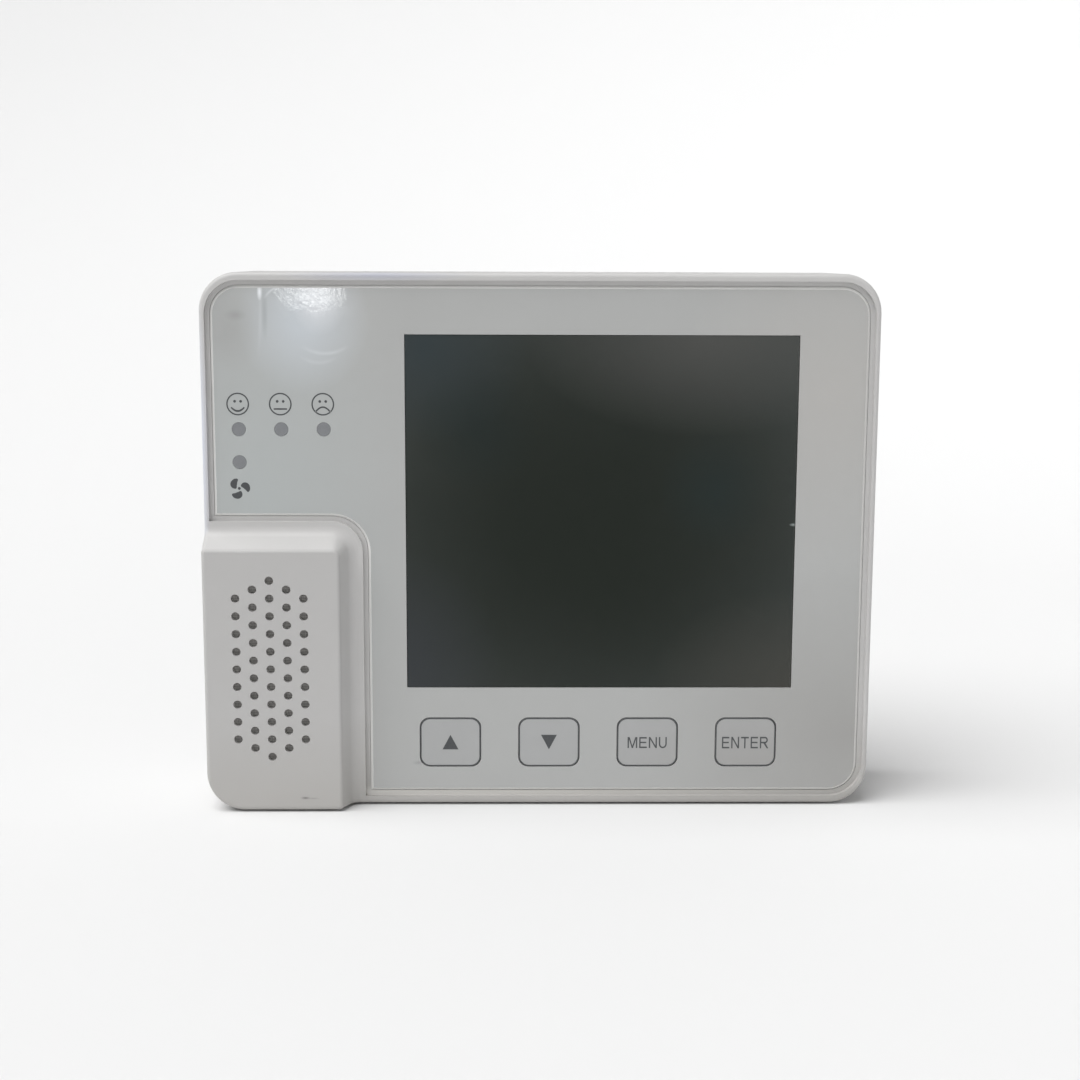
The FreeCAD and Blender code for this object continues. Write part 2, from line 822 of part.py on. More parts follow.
def make_face_plate():
    body = new_body("face_plate")
    thickness = size("plate_depth") - size("deck_depth")
    front = size("plate_depth")
    outline = outline_sketch(body, "face_plate_outline", size("deck_depth"), plate_outline(0))
    pad(body, "face_plate_sheet", outline, thickness)
    soften(body, "Chamfer", "face_plate_bevel", size("plate_bevel"),
           lambda edge: at_depth(edge, front))
    window = outline_sketch(body, "pane_opening_outline", front, rectangle(
        span(size("window_x"), size("window_width")),
        span(size("window_z"), size("window_height")), 0))
    pocket(body, "pane_opening", window, thickness, forward=False)
    key = outline_sketch(body, "key_aperture_outline", front,
                         key_outline(key_places[0], size("key_gap"), size("key_radius")))
    first = pocket(body, "key_aperture", key, thickness, forward=False)
    repeat(body, "key_apertures", first, key, "H_Axis", size("key_pitch") * 3, 4)
    lights = circle_sketch(body, "light_aperture_circles", front, light_places,
                           size("light_radius") + size("light_gap"))
    pocket(body, "light_apertures", lights, thickness, forward=False)
    return body


def make_key(name, place):
    """A key cap with its retaining lip, and the switch plunger that it presses."""
    cap_back = size("deck_back_depth") - size("plunger_gap")
    lip_back = cap_back - size("key_lip_thickness")
    front = size("plate_depth")
    cap = new_body("key_cap_" + name)
    lip = outline_sketch(cap, name + "_lip_outline", lip_back,
                         key_outline(place, size("key_lip"), size("key_radius")))
    pad(cap, name + "_lip", lip, cap_back - lip_back)
    outline = outline_sketch(cap, name + "_cap_outline", lip_back,
                             key_outline(place, 0, size("key_radius")))
    pad(cap, name + "_cap", outline, front - lip_back)
    soften(cap, "Fillet", name + "_cap_round", size("key_round"),
           lambda edge: at_depth(edge, front))
    x, z = place
    tip = board_front + size("plunger_tip")
    keep(rod("switch_plunger_" + name, x, z, (tip, lip_back), size("plunger_radius")),
         "switch_plunger_" + name)


def make_tact_switches():
    """The four tactile switches, each with a bore for its plunger."""
    bases = []
    top = board_front + size("switch_height")
    for name, (x, z) in zip(KEY_NAMES, key_places):
        base = block("switch_block_" + name, span(x, size("switch_width")),
                     (board_front, top), span(z, size("switch_width")))
        floor = board_front + size("plunger_bore_floor")
        bore = rod("switch_bore_" + name, x, z, (floor, top + overshoot),
                   size("plunger_radius") + size("plunger_gap"))
        bases.append(cut("switch_" + name, base, bore))
    group("tact_switches", bases)


def make_status_lights():
    """The light-emitting diodes, their light pipes and the block that parts them."""
    diodes = []
    pipes = []
    bores = []
    deck_back = size("deck_back_depth")
    diode_front = board_front + size("diode_thickness")
    collar_back = deck_back - fit - size("collar_thickness")
    for i, (x, z) in enumerate(light_places):
        diodes.append(block("diode_%d" % i, span(x, size("diode_width")),
                            (board_front, diode_front), span(z, size("diode_height"))))
        shaft = rod("pipe_shaft_%d" % i, x, z,
                    (diode_front + size("pipe_gap"), size("plate_depth")), size("light_radius"))
        collar = rod("pipe_collar_%d" % i, x, z, (collar_back, deck_back - fit),
                     size("light_radius") + size("collar_rim"))
        pipes.append(fused("pipe_%d" % i, [shaft, collar]))
        bores.append(rod("shroud_bore_%d" % i, x, z, (board_front - overshoot, deck_back),
                         size("shroud_bore")))
    group("status_leds", diodes)
    group("light_pipes", pipes)
    margin = size("shroud_margin")
    x = (size("light_x") - margin, size("light_x") + size("light_pitch") * 2 + margin)
    z = (size("light_z") - size("fan_light_drop") - margin, size("light_z") + margin)
    shroud = block("shroud_block", x, (board_front + fit, collar_back - fit), z)
    keep(cut("light_shroud", shroud, fused("shroud_bores", bores)), "light_shroud")


# ---------------------------------------------------------------- display

def ring(label, x, z, depth, wall):
    """A rectangular ring with walls of one thickness."""
    outer = block(label + "_outer", x, depth, z)
    near, far = depth
    inner = block(label + "_inner", (x[0] + wall, x[1] - wall),
                  (near - overshoot, far + overshoot), (z[0] + wall, z[1] - wall))
    return keep(cut(label, outer, inner), label)


def make_display():
    x = size("window_x")
    z = size("window_z")
    deck = size("deck_depth")
    deck_back = size("deck_back_depth")
    slack = size("pane_gap") * 2
    pane = block("pane_block", span(x, size("window_width") - slack),
                 (deck, size("plate_depth")), span(z, size("window_height") - slack))
    doc.recompute()
    bevel = doc.addObject("Part::Chamfer", "display_window")
    bevel.Base = pane
    rim = size("pane_bevel").value
    bevel.Edges = [(i, rim, rim) for i, edge in enumerate(pane.Shape.Edges, start=1)
                   if at_depth(edge, size("plate_depth"))]
    keep(bevel, "display_window")

    ledge = size("pane_ledge") * 2 + slack
    ring("display_gasket", span(x, size("window_width") - ledge),
         span(z, size("window_height") - ledge), (deck_back - fit, deck - fit / 2),
         size("gasket_wall"))
    glass_front = deck_back - fit * 2
    glass_back = glass_front - size("glass_thickness")
    keep(block("lcd_glass", span(x, size("glass_width")), (glass_back, glass_front),
               span(z, size("glass_height"))), "lcd_glass")
    ring("lcd_holder", span(x, size("holder_width")), span(z, size("holder_height")),
         (board_front + fit / 2, deck_back - fit),
         (size("holder_width") - size("glass_width")) / 2 - fit)
    keep(block("lcd_backlight", span(x, size("glass_width") - size("strip_width") * 2),
               (board_front + size("backlight_gap"), glass_back - fit),
               span(z, size("glass_height") - size("strip_width") * 4)),
         "lcd_backlight")
    strips = [block("connector_strip_%d" % i,
                    span(x, size("glass_width") - size("strip_width") * 3),
                    (board_front, glass_back),
                    span(z + (size("glass_height") / 2 - size("strip_inset")) * side,
                         size("strip_width")))
              for i, side in enumerate((-1, 1))]
    group("lcd_connector_strips", strips)


# ---------------------------------------------------------------- circuit boards

def make_board(label, corners, depth, screws, notches):
    """A circuit board with screw holes, notched clear of the case's screw bosses."""
    body = new_body(label)
    outline = outline_sketch(body, label + "_outline", depth, corners)
    pad(body, label + "_sheet", outline, size("board_thickness"))
    holes = circle_sketch(body, label + "_hole_circles", depth, screws,
                          size("screw_radius") + fit * 2)
    pocket(body, label + "_holes", holes, size("board_thickness"))
    if notches:
        circles = circle_sketch(body, label + "_notch_circles", depth, notches,
                                size("boss_radius") + fit * 8)
        pocket(body, label + "_notches", circles, size("board_thickness"))


def component(name, board_face, side):
    """A block on a board's face, on its front (1) or its rear (-1)."""
    x, z, height = COMPONENTS[name]
    far = board_face + as_size(height) * side
    return block(name, x, (board_face, far) if side > 0 else (far, board_face), z)


def round_component(name, shape, board_face, side):
    """A cylinder on a board's face, on its front (1) or its rear (-1)."""
    (x, z), radius, height = shape
    far = board_face + as_size(height) * side
    return rod(name, x, z, (board_face, far) if side > 0 else (far, board_face), radius)


def lying_cylinder(label, shape):
    """A cylinder that lies across the power board."""
    start, axis, radius, length = shape
    cylinder = doc.addObject("Part::Cylinder", label)
    cylinder.Radius = radius
    cylinder.Height = length
    cylinder.Placement = FreeCAD.Placement(start, Rotation(Vector(0, 0, 1), axis))
    keep(cylinder, label)


def make_main_board():
    rear = size("board_depth")
    right = inner_width - size("board_edge_gap")
    top = inner_height - size("board_edge_gap")
    left_x = size("board_inner_x")
    low_z = size("board_inner_z")
    make_board("main_board", [(-right, low_z, 0), (left_x, low_z, 0), (left_x, -top, 0),
                              (right, -top, 0), (right, top, 0), (-right, top, 0)],
               rear, board_screws, case_screws[1:])
    for name in ("microcontroller", "clock_crystal", "board_link_header"):
        keep(component(name, rear, -1), name)
    group("logic_chips", [component("logic_chip_%d" % i, rear, -1) for i in range(3)])


def make_power_board():
    half = size("power_board_x")
    make_board("power_board", rectangle((-half, half), (size("power_board_low"),
                                                        size("power_board_high")), 1.5),
               size("power_board_depth"), power_screws, [])
    rear = size("power_board_depth")
    keep(component("power_supply_module", rear, -1), "power_supply_module")
    group("fan_relays", [component("relay_%d" % i, rear, -1) for i in range(2)])
    group("smoothing_capacitors", [round_component("capacitor_%d" % i, shape, rear, -1)
                                   for i, shape in enumerate(CAPACITORS)])
    keep(round_component("buzzer", BUZZER, rear, -1), "buzzer")
    lying_cylinder("surge_varistor", VARISTOR)
    lying_cylinder("board_fuse", FUSE)


def make_terminal_block():
    """The wiring terminals: screws face the wall, and the wires enter from below."""
    back = size("rear_wall_depth") - size("terminal_rise")
    low = size("terminal_low")
    depth = size("terminal_bore_depth")
    base = block("terminal_body", span(0, size("terminal_width")),
                 (back, size("power_board_depth")), (low, size("terminal_high")))
    entry = (back + depth + overshoot, back + depth + overshoot + size("wire_entry_height"))
    z = size("terminal_screw_z")
    tools = []
    screws = []
    for i in range(TERMINALS):
        x = size("terminal_pitch") * (i - (TERMINALS - 1) / 2)
        tools.append(rod("terminal_bore_%d" % i, x, z, (back - overshoot, back + depth),
                         size("terminal_bore")))
        tools.append(block("wire_entry_%d" % i, span(x, size("wire_entry_width")), entry,
                           (low - overshoot, size("wire_entry_end"))))
        head = back + size("terminal_screw_drop")
        screw = rod("terminal_screw_%d" % i, x, z, (head, back + depth), size("terminal_screw"))
        slot = block("terminal_slot_%d" % i, span(x, size("terminal_slot")),
                     (back - overshoot, head + size("terminal_slot_depth")),
                     span(z, size("terminal_screw") * 2 + overshoot))
        screws.append(cut("slotted_screw_%d" % i, screw, slot))
    keep(cut("terminal_block", base, fused("terminal_tools", tools)), "terminal_block")
    group("terminal_screws", screws)


# ---------------------------------------------------------------- sensor chamber

def make_sensor_board():
    make_board("sensor_board", rectangle((size("sensor_board_left"), size("sensor_board_right")),
                                         (size("sensor_board_low"), 0), 1),
               size("sensor_board_depth"), sensor_screws, [])
    lift = sensor_front + fit * 4
    x, z, height = COMPONENTS["co2_sensor"]
    top = sensor_front + height
    keep(block("co2_sensor", x, (lift, top), z), "co2_sensor")
    x, z, height = COMPONENTS["co2_sensor_filter"]
    keep(block("co2_sensor_filter", x, (top, sensor_front + height), z), "co2_sensor_filter")
    can = round_component("voc_can", VOC_CAN, sensor_front, 1)
    flange = round_component("voc_flange", VOC_FLANGE, sensor_front, 1)
    keep(fused("voc_sensor", [can, flange]), "voc_sensor")
    keep(component("temp_humidity_sensor", sensor_front, 1), "temp_humidity_sensor")


def make_sensor_link():
    """The flat cable between the sensor board and the main board, and its sockets."""
    rear = size("board_depth")
    x, z, (near, far) = CABLE
    keep(component("sensor_socket", size("sensor_board_depth"), -1), "sensor_socket")
    keep(block("sensor_ribbon_cable", x, (rear - near, rear - far), z), "sensor_ribbon_cable")
    keep(component("main_board_socket", rear, -1), "main_board_socket")


def make_chamber_parts():
    """The wall round the sensor chamber and the dust filter behind its vent holes."""
    depth = (size("rear_wall_depth") + fit * 2, size("deck_back_depth") - fit * 2)
    right = size("divider_x")
    top = size("divider_z")
    wall = size("divider_wall")
    upright = block("divider_upright", (right - wall, right), depth,
                    (-inner_height + fit * 2, top))
    shelf = block("divider_shelf", (-inner_width + fit * 2, right), depth, (top - wall, top))
    x, z, (near, far) = CABLE_NOTCH
    notch = block("divider_notch", x, (size("board_depth") - near,
                                       size("board_depth") - far), z)
    walls = fused("divider_walls", [upright, shelf])
    keep(cut("chamber_divider", walls, notch), "chamber_divider")
    front = size("chamber_depth") - size("chamber_wall") - fit
    x, z = DUST_FILTER
    keep(block("dust_filter", x, (front - size("filter_thickness"), front), z), "dust_filter")


# ---------------------------------------------------------------- screws

def make_screws(label, places, seat, direction, length):
    """Pan-head screws with their heads on a seat, pointing forward (1) or back (-1)."""
    pieces = []
    for i, (x, z) in enumerate(places):
        head_end = seat - size("head_height") * direction
        tip = seat + as_size(length) * direction
        head_depth = (head_end, seat) if direction > 0 else (seat, head_end)
        shank_depth = (head_end, tip) if direction > 0 else (tip, head_end)
        head = rod("%s_head_%d" % (label, i), x, z, head_depth, size("head_radius"))
        shank = rod("%s_shank_%d" % (label, i), x, z, shank_depth, size("screw_radius"))
        solid = fused("%s_solid_%d" % (label, i), [head, shank])
        floor = head_end + size("recess_depth") * direction
        past = head_end - overshoot * direction
        recess = (past, floor) if direction > 0 else (floor, past)
        wide = size("recess_width")
        slot = size("recess_slot")
        across = block("%s_slot_a_%d" % (label, i), span(x, wide), recess, span(z, slot))
        upright = block("%s_slot_b_%d" % (label, i), span(x, slot), recess, span(z, wide))
        cross = fused("%s_cross_%d" % (label, i), [across, upright])
        pieces.append(cut("%s_%d" % (label, i), solid, cross))
    group(label, pieces)


# ---------------------------------------------------------------- wall plate

def make_wall_plate():
    body = new_body("wall_plate")
    thickness = size("wall_plate_thickness")
    outline = outline_sketch(body, "wall_plate_outline", 0, rectangle(
        span(0, size("wall_plate_width")), span(0, size("wall_plate_height")),
        size("wall_plate_radius")))
    pad(body, "wall_plate_sheet", outline, thickness)
    opening = outline_sketch(body, "wire_hole_outline", 0, rectangle(
        span(0, size("wire_hole_width")), span(0, size("wire_hole_height")),
        size("wire_hole_radius")))
    pocket(body, "wire_hole", opening, thickness)
    side = size("box_screw_pitch_x") / 2
    end = size("box_screw_pitch_z") / 2
    holes = new_sketch(body, "wall_screw_circles", 0)
    for i in (-1, 1):
        add_circle(holes, side * i, 0, size("wall_screw_radius"))
        add_circle(holes, 0, end * i, size("wall_screw_radius"))
    pocket(body, "wall_screw_holes", holes, thickness)
    lip_depth = size("rear_wall_depth") + size("hook_gap")
    posts = new_sketch(body, "hook_post_outlines", thickness)
    lips = new_sketch(body, "hook_lip_outlines", lip_depth)
    for x, z in hook_places:
        top = z + size("hook_thickness")
        add_outline(posts, rectangle(span(x, size("hook_width")), (z, top), 0))
        add_outline(lips, rectangle(span(x, size("hook_width")),
                                    (z, top + size("hook_rise")), 0))
    pad(body, "hook_posts", posts, lip_depth + size("hook_thickness") - thickness)
    pad(body, "hook_lips", lips, size("hook_thickness"))


def build():
    make_front_housing()
    make_rear_housing()
    make_face_plate()
    make_display()
    for name, place in zip(KEY_NAMES, key_places):
        make_key(name, place)
    make_tact_switches()
    make_status_lights()
    make_main_board()
    make_power_board()
    make_terminal_block()
    make_sensor_board()
    make_sensor_link()
    make_chamber_parts()
    sink_floor = size("back_depth") + size("hole_gap") + size("head_height")
    make_screws("case_screws", case_screws, sink_floor, 1, size("case_screw_length"))
    make_screws("main_board_screws", board_screws, size("board_depth"), 1,
                size("board_pilot_length"))
    make_screws("power_board_screws", power_screws, power_front, -1, size("rear_pilot_length"))
    make_screws("sensor_board_screws", sensor_screws, sensor_front, -1,
                size("rear_pilot_length"))
    make_wall_plate()


def check_and_write():
    """Stop on any failed object, then write each piece to its own file."""
    doc.recompute()
    for thing in doc.Objects:
        if "Invalid" in thing.State or "Error" in thing.State:
            raise RuntimeError("%s failed: %s" % (thing.Label, thing.State))
    os.makedirs("parts", exist_ok=True)
    for node in nodes:
        shape = node.Shape
        if shape.isNull() or not shape.isValid() or not shape.Solids:
            raise RuntimeError("%s has no valid solid" % node.Label)
        shape.exportStep("parts/%s.step" % node.Label)
        print(node.Label, len(shape.Solids), round(shape.Volume, 1))


build()
check_and_write()
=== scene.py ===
"""The looks of a wall-mounted indoor air quality monitor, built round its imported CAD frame.

Lengths are metres, in the CAD frame: +X right, +Z up, and the front faces -Y.
"""

import json
import math

import bmesh
import bpy
from mathutils import Matrix, Vector


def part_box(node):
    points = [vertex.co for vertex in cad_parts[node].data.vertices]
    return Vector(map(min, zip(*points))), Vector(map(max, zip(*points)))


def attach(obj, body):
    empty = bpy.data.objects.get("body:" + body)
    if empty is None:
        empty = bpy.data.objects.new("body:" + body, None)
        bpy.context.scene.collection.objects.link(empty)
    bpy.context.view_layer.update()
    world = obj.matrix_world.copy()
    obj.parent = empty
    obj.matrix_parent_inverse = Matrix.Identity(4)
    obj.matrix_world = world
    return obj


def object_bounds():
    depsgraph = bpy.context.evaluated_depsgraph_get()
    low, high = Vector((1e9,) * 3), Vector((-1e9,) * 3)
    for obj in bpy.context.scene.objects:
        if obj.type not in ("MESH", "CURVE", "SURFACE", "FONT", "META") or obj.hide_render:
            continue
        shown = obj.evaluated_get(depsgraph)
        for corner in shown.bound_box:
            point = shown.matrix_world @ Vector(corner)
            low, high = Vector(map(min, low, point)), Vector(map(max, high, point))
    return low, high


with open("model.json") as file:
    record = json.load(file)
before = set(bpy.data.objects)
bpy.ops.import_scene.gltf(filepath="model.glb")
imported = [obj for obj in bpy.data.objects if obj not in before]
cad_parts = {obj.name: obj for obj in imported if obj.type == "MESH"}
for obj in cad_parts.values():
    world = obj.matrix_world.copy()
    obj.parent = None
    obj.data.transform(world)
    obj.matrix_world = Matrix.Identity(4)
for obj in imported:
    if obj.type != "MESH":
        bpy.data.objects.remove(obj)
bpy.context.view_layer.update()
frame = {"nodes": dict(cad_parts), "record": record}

MM = 0.001
SAME_PLACE = 1e-7
DEVICE = "device"
KEYS = ("up", "down", "menu", "enter")


# ---------------------------------------------------------------- measures from the frame

def solid_boxes(node):
    """The boxes of a node's separate solids, from left to right."""
    mesh = bmesh.new()
    mesh.from_mesh(frame["nodes"][node].data)
    bmesh.ops.remove_doubles(mesh, verts=mesh.verts, dist=SAME_PLACE)
    unseen = set(mesh.verts)
    boxes = []
    while unseen:
        queue = [unseen.pop()]
        found = []
        while queue:
            vertex = queue.pop()
            found.append(vertex.co.copy())
            for edge in vertex.link_edges:
                other = edge.other_vert(vertex)
                if other in unseen:
                    unseen.remove(other)
                    queue.append(other)
        low = Vector(tuple(min(point[i] for point in found) for i in range(3)))
        high = Vector(tuple(max(point[i] for point in found) for i in range(3)))
        boxes.append((low, high))
    mesh.free()
    return sorted(boxes, key=lambda box: (round(box[0].x, 5), -box[0].z))


face_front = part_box("face_plate")[0].y


# ---------------------------------------------------------------- camera

CAMERA_PLACE = (-5.53 * MM, -413.81 * MM, 63.38 * MM)
CAMERA_ANGLES = (80.777, -0.201, -0.782)
CAMERA_LENS = 58.26
CAMERA_SENSOR = 36


def add_camera():
    """The camera stands close to the object, a little above its middle."""
    data = bpy.data.cameras.new("camera")
    data.lens = CAMERA_LENS
    data.sensor_width = CAMERA_SENSOR
    data.clip_start = 0.01
    camera = bpy.data.objects.new("camera", data)
    camera.location = CAMERA_PLACE
    camera.rotation_euler = [math.radians(angle) for angle in CAMERA_ANGLES]
    bpy.context.scene.collection.objects.link(camera)
    bpy.context.scene.camera = camera


# ---------------------------------------------------------------- materials

def linear(*rgb):
    """A display colour, 0 to 255, as the linear colour that a shader takes."""
    parts = [value / 255 for value in rgb]
    return tuple(p / 12.92 if p <= 0.04045 else ((p + 0.055) / 1.055) ** 2.4 for p in parts)


# A wave texture of scale 1 repeats every 0.31416 m.
WAVE_SCALE = 0.31416
# How far a wave has to rise to count as a line, and how far it is one all over.
LINE_RISE = (0.62, 0.74)
# The part of a normal that points forward where a slope starts to count, and where it ends.
SLOPE = (0.8, 0.95)
# The middle part of a noise, which holds nearly all its values.
NOISE_SPAN = (0.3, 0.7)


class Finish:
    """A node material that is built up step by step."""

    def __init__(self, name, color, roughness, **settings):
        self.material = bpy.data.materials.new(name)
        self.material.use_nodes = True
        self.nodes = self.material.node_tree.nodes
        self.links = self.material.node_tree.links
        self.shader = self.nodes["Principled BSDF"]
        self.color = color
        self.relief = {}
        self.set("Base Color", (*color, 1))
        self.set("Roughness", roughness)
        for socket, value in settings.items():
            self.set(socket.replace("_", " "), value)
        coordinates = self.nodes.new("ShaderNodeTexCoord")
        coordinates.name = "Texture Coordinate"
        self.place = coordinates.outputs["Object"]

    def set(self, socket, value):
        self.shader.inputs[socket].default_value = value

    def stretched(self, stretch):
        """The place on the piece, scaled by a factor along each axis."""
        mapping = self.nodes.new("ShaderNodeMapping")
        mapping.inputs["Scale"].default_value = stretch
        self.links.new(self.place, mapping.inputs["Vector"])
        return mapping.outputs["Vector"]

    def noise(self, size, detail=2.0, stretch=(1, 1, 1)):
        """Noise whose blotches are about this size, in metres."""
        texture = self.nodes.new("ShaderNodeTexNoise")
        texture.inputs["Scale"].default_value = 1 / size
        texture.inputs["Detail"].default_value = detail
        self.links.new(self.stretched(stretch), texture.inputs["Vector"])
        return texture.outputs["Fac"]

    def waves(self, size, direction):
        """Parallel bands this far apart, across one axis."""
        texture = self.nodes.new("ShaderNodeTexWave")
        texture.bands_direction = direction
        texture.inputs["Scale"].default_value = WAVE_SCALE / size
        self.links.new(self.place, texture.inputs["Vector"])
        return texture.outputs["Fac"]

    def tracks(self, patch, pitch, share):
        """Parallel lines that run along X in some square patches and along Z in others."""
        texture = self.nodes.new("ShaderNodeTexVoronoi")
        texture.distance = "CHEBYCHEV"
        texture.inputs["Scale"].default_value = 1 / patch
        self.links.new(self.place, texture.inputs["Vector"])
        parts = self.nodes.new("ShaderNodeSeparateXYZ")
        self.links.new(texture.outputs["Color"], parts.inputs[0])
        along = self.calc("GREATER_THAN", parts.outputs["X"], 0.5)
        across = self.calc("SUBTRACT", 1, along)
        lines = self.calc("ADD", self.calc("MULTIPLY", self.waves(pitch, "X"), along),
                          self.calc("MULTIPLY", self.waves(pitch, "Z"), across))
        tracked = self.calc("LESS_THAN", parts.outputs["Y"], share)
        return self.calc("MULTIPLY", self.ranged(lines, *LINE_RISE, 0, 1), tracked)

    def cells(self, size):
        """Voronoi cells of about this size."""
        texture = self.nodes.new("ShaderNodeTexVoronoi")
        texture.inputs["Scale"].default_value = 1 / size
        self.links.new(self.place, texture.inputs["Vector"])
        return texture.outputs["Distance"]

    def ranged(self, value, low, high, to_low, to_high):
        """A value taken from one range to another, clamped."""
        node = self.nodes.new("ShaderNodeMapRange")
        for socket, number in zip(("From Min", "From Max", "To Min", "To Max"),
                                  (low, high, to_low, to_high)):
            node.inputs[socket].default_value = number
        self.links.new(value, node.inputs["Value"])
        return node.outputs["Result"]

    def calc(self, operation, *values):
        """Arithmetic on values that vary over the surface, and plain numbers."""
        node = self.nodes.new("ShaderNodeMath")
        node.operation = operation
        for socket, value in zip(node.inputs, values):
            if isinstance(value, (int, float)):
                socket.default_value = value
            else:
                self.links.new(value, socket)
        return node.outputs[0]

    def reach(self, centre, radii):
        """Distance from a centre in X and Z, as a share of a radius along each.

        With three numbers each, the distance is in X, Y and Z.
        """
        scale = [1 / part for part in radii]
        start = [-place * part for place, part in zip(centre, scale)]
        if len(scale) == 2:
            scale.insert(1, 0)
            start.insert(1, 0)
        mapping = self.nodes.new("ShaderNodeMapping")
        mapping.inputs["Scale"].default_value = scale
        mapping.inputs["Location"].default_value = start
        self.links.new(self.place, mapping.inputs["Vector"])
        length = self.nodes.new("ShaderNodeVectorMath")
        length.operation = "LENGTH"
        self.links.new(mapping.outputs["Vector"], length.inputs[0])
        return length.outputs["Value"]

    def spot(self, centre, radii, core=0.0):
        """1 inside an ellipse, fading to 0 at its edge."""
        return self.ranged(self.reach(centre, radii), core, 1, 1, 0)

    def ridge(self, centre, radii, width):
        """1 along an ellipse, fading to 0 at a share of its radius on either side."""
        off = self.calc("ABSOLUTE", self.calc("SUBTRACT", self.reach(centre, radii), 1))
        return self.ranged(off, 0, width, 1, 0)

    def tilt(self):
        """1 where the surface turns away from the front, 0 where it faces it."""
        parts = self.nodes.new("ShaderNodeSeparateXYZ")
        self.links.new(self.nodes["Texture Coordinate"].outputs["Normal"], parts.inputs[0])
        return self.ranged(self.calc("ABSOLUTE", parts.outputs["Y"]), *SLOPE, 1, 0)

    def lower(self, start, end):
        """0 above a height, rising to 1 at a lower one."""
        parts = self.nodes.new("ShaderNodeSeparateXYZ")
        self.links.new(self.place, parts.inputs[0])
        return self.ranged(parts.outputs["Z"], end, start, 1, 0)

    def tint(self, value, low, high):
        """Colour that goes from one tint to another with a value."""
        ramp = self.nodes.new("ShaderNodeValToRGB")
        for stop, place, color in zip(ramp.color_ramp.elements, NOISE_SPAN, (low, high)):
            stop.position = place
            stop.color = (*color, 1)
        self.links.new(value, ramp.inputs["Fac"])
        self.painted = ramp.outputs["Color"]
        self.links.new(self.painted, self.shader.inputs["Base Color"])
        return self

    def patch(self, centre, radii, color, share, core=0.0):
        """A soft spot of another colour, at most a share of the way to it."""
        place = [part * MM for part in centre]
        size = [part * MM for part in radii]
        return self.over(self.calc("MULTIPLY", self.spot(place, size, core), share), color)

    def over(self, value, color):
        """Another colour laid over the tint so far, by a value."""
        mix = self.nodes.new("ShaderNodeMix")
        mix.data_type = "RGBA"
        sockets = {socket.name: socket for socket in mix.inputs if socket.type == "RGBA"}
        self.links.new(value, mix.inputs["Factor"])
        self.links.new(self.painted, sockets["A"])
        sockets["B"].default_value = (*color, 1)
        self.painted = next(socket for socket in mix.outputs if socket.type == "RGBA")
        self.links.new(self.painted, self.shader.inputs["Base Color"])
        return self

    def mottle(self, size, amount):
        """Uneven colour: the base tint, darker and lighter by a share."""
        low = tuple(part * (1 - amount) for part in self.color)
        high = tuple(min(1, part * (1 + amount)) for part in self.color)
        return self.tint(self.noise(size, 3), low, high)

    def sheen_change(self, size, low, high, stretch=(1, 1, 1)):
        """Uneven roughness between two values."""
        value = self.ranged(self.noise(size, 3, stretch), *NOISE_SPAN, low, high)
        self.links.new(value, self.shader.inputs["Roughness"])
        return self

    def bump(self, height, depth, layer="Normal"):
        """Relief of this depth, in metres, on top of the same layer's relief so far."""
        node = self.nodes.new("ShaderNodeBump")
        node.inputs["Strength"].default_value = 1
        node.inputs["Distance"].default_value = depth
        self.links.new(height, node.inputs["Height"])
        if layer in self.relief:
            self.links.new(self.relief[layer], node.inputs["Normal"])
        self.relief[layer] = node.outputs["Normal"]
        self.links.new(self.relief[layer], self.shader.inputs[layer])
        return self


# The soft tones of each surface, most of them painted light and shade: centre, radii, colour,
# share, and where there is one, the part of the radii that takes the whole share. All lengths are
# in mm.
CASE_TONES_AND_PAINTED_LIGHT = (
    # Painted light: the groove below the face sheet is lighter along the bottom.
    ((-30, -28.6, -57.6), (100, 0.5, 1.6), linear(212, 210, 206), 0.7, 0.3),
    # Painted shade: the bottom rim is darker towards the right.
    ((70, -30.0, -58.5), (70, 1.0, 4), linear(148, 146, 142), 0.6, 0.0),
    # Two small dark marks near the bottom of the chamber's front.
    ((-52.6, -35.0, -56.9), (1.2, 3.0, 0.4), linear(84, 82, 80), 0.8),
    ((-50.8, -35.0, -57.0), (1.6, 3.0, 0.25), linear(120, 118, 116), 0.5),
    # Painted reflection: a bluish tint along the top front edge.
    ((-36.0, -29.8, 59.2), (22, 1.4, 1.6), linear(150, 156, 186), 0.4),
    # Painted highlight: a bluish white line down the left front edge.
    ((-74.4, -29.4, 22.0), (1.5, 1.4, 34), linear(204, 208, 224), 0.7),
)
SHEET_TONES_AND_PAINTED_SHADE = (
    ((-62, 8), (34, 62), linear(172, 178, 178), 0.7),
    # Painted shade: the sheet is darker towards the lower right.
    ((70, -44), (50, 40), linear(152, 151, 149), 0.9),
    ((64, 34), (34, 40), linear(176, 174, 171), 0.8),
    ((-27.6, -50.5), (1.5, 0.6), linear(128, 130, 132), 0.5),
)
# Painted reflections on the display: lighter and darker patches, and one small light fleck.
PANE_PAINTED_REFLECTIONS = (
    ((36, 46), (40, 22), linear(80, 80, 78), 0.75),
    ((-26, 44), (24, 22), linear(44, 54, 58), 0.8),
    ((-14, 26), (14, 14), linear(18, 32, 32), 0.5),
    ((39, 12), (13, 14), linear(24, 38, 38), 0.6),
    ((56, -34), (32, 24), linear(62, 61, 56), 0.8),
    ((-34, -30), (26, 30), linear(50, 53, 58), 0.8),
    ((56.5, 4.4), (1.0, 0.4), linear(150, 158, 156), 0.9),
)
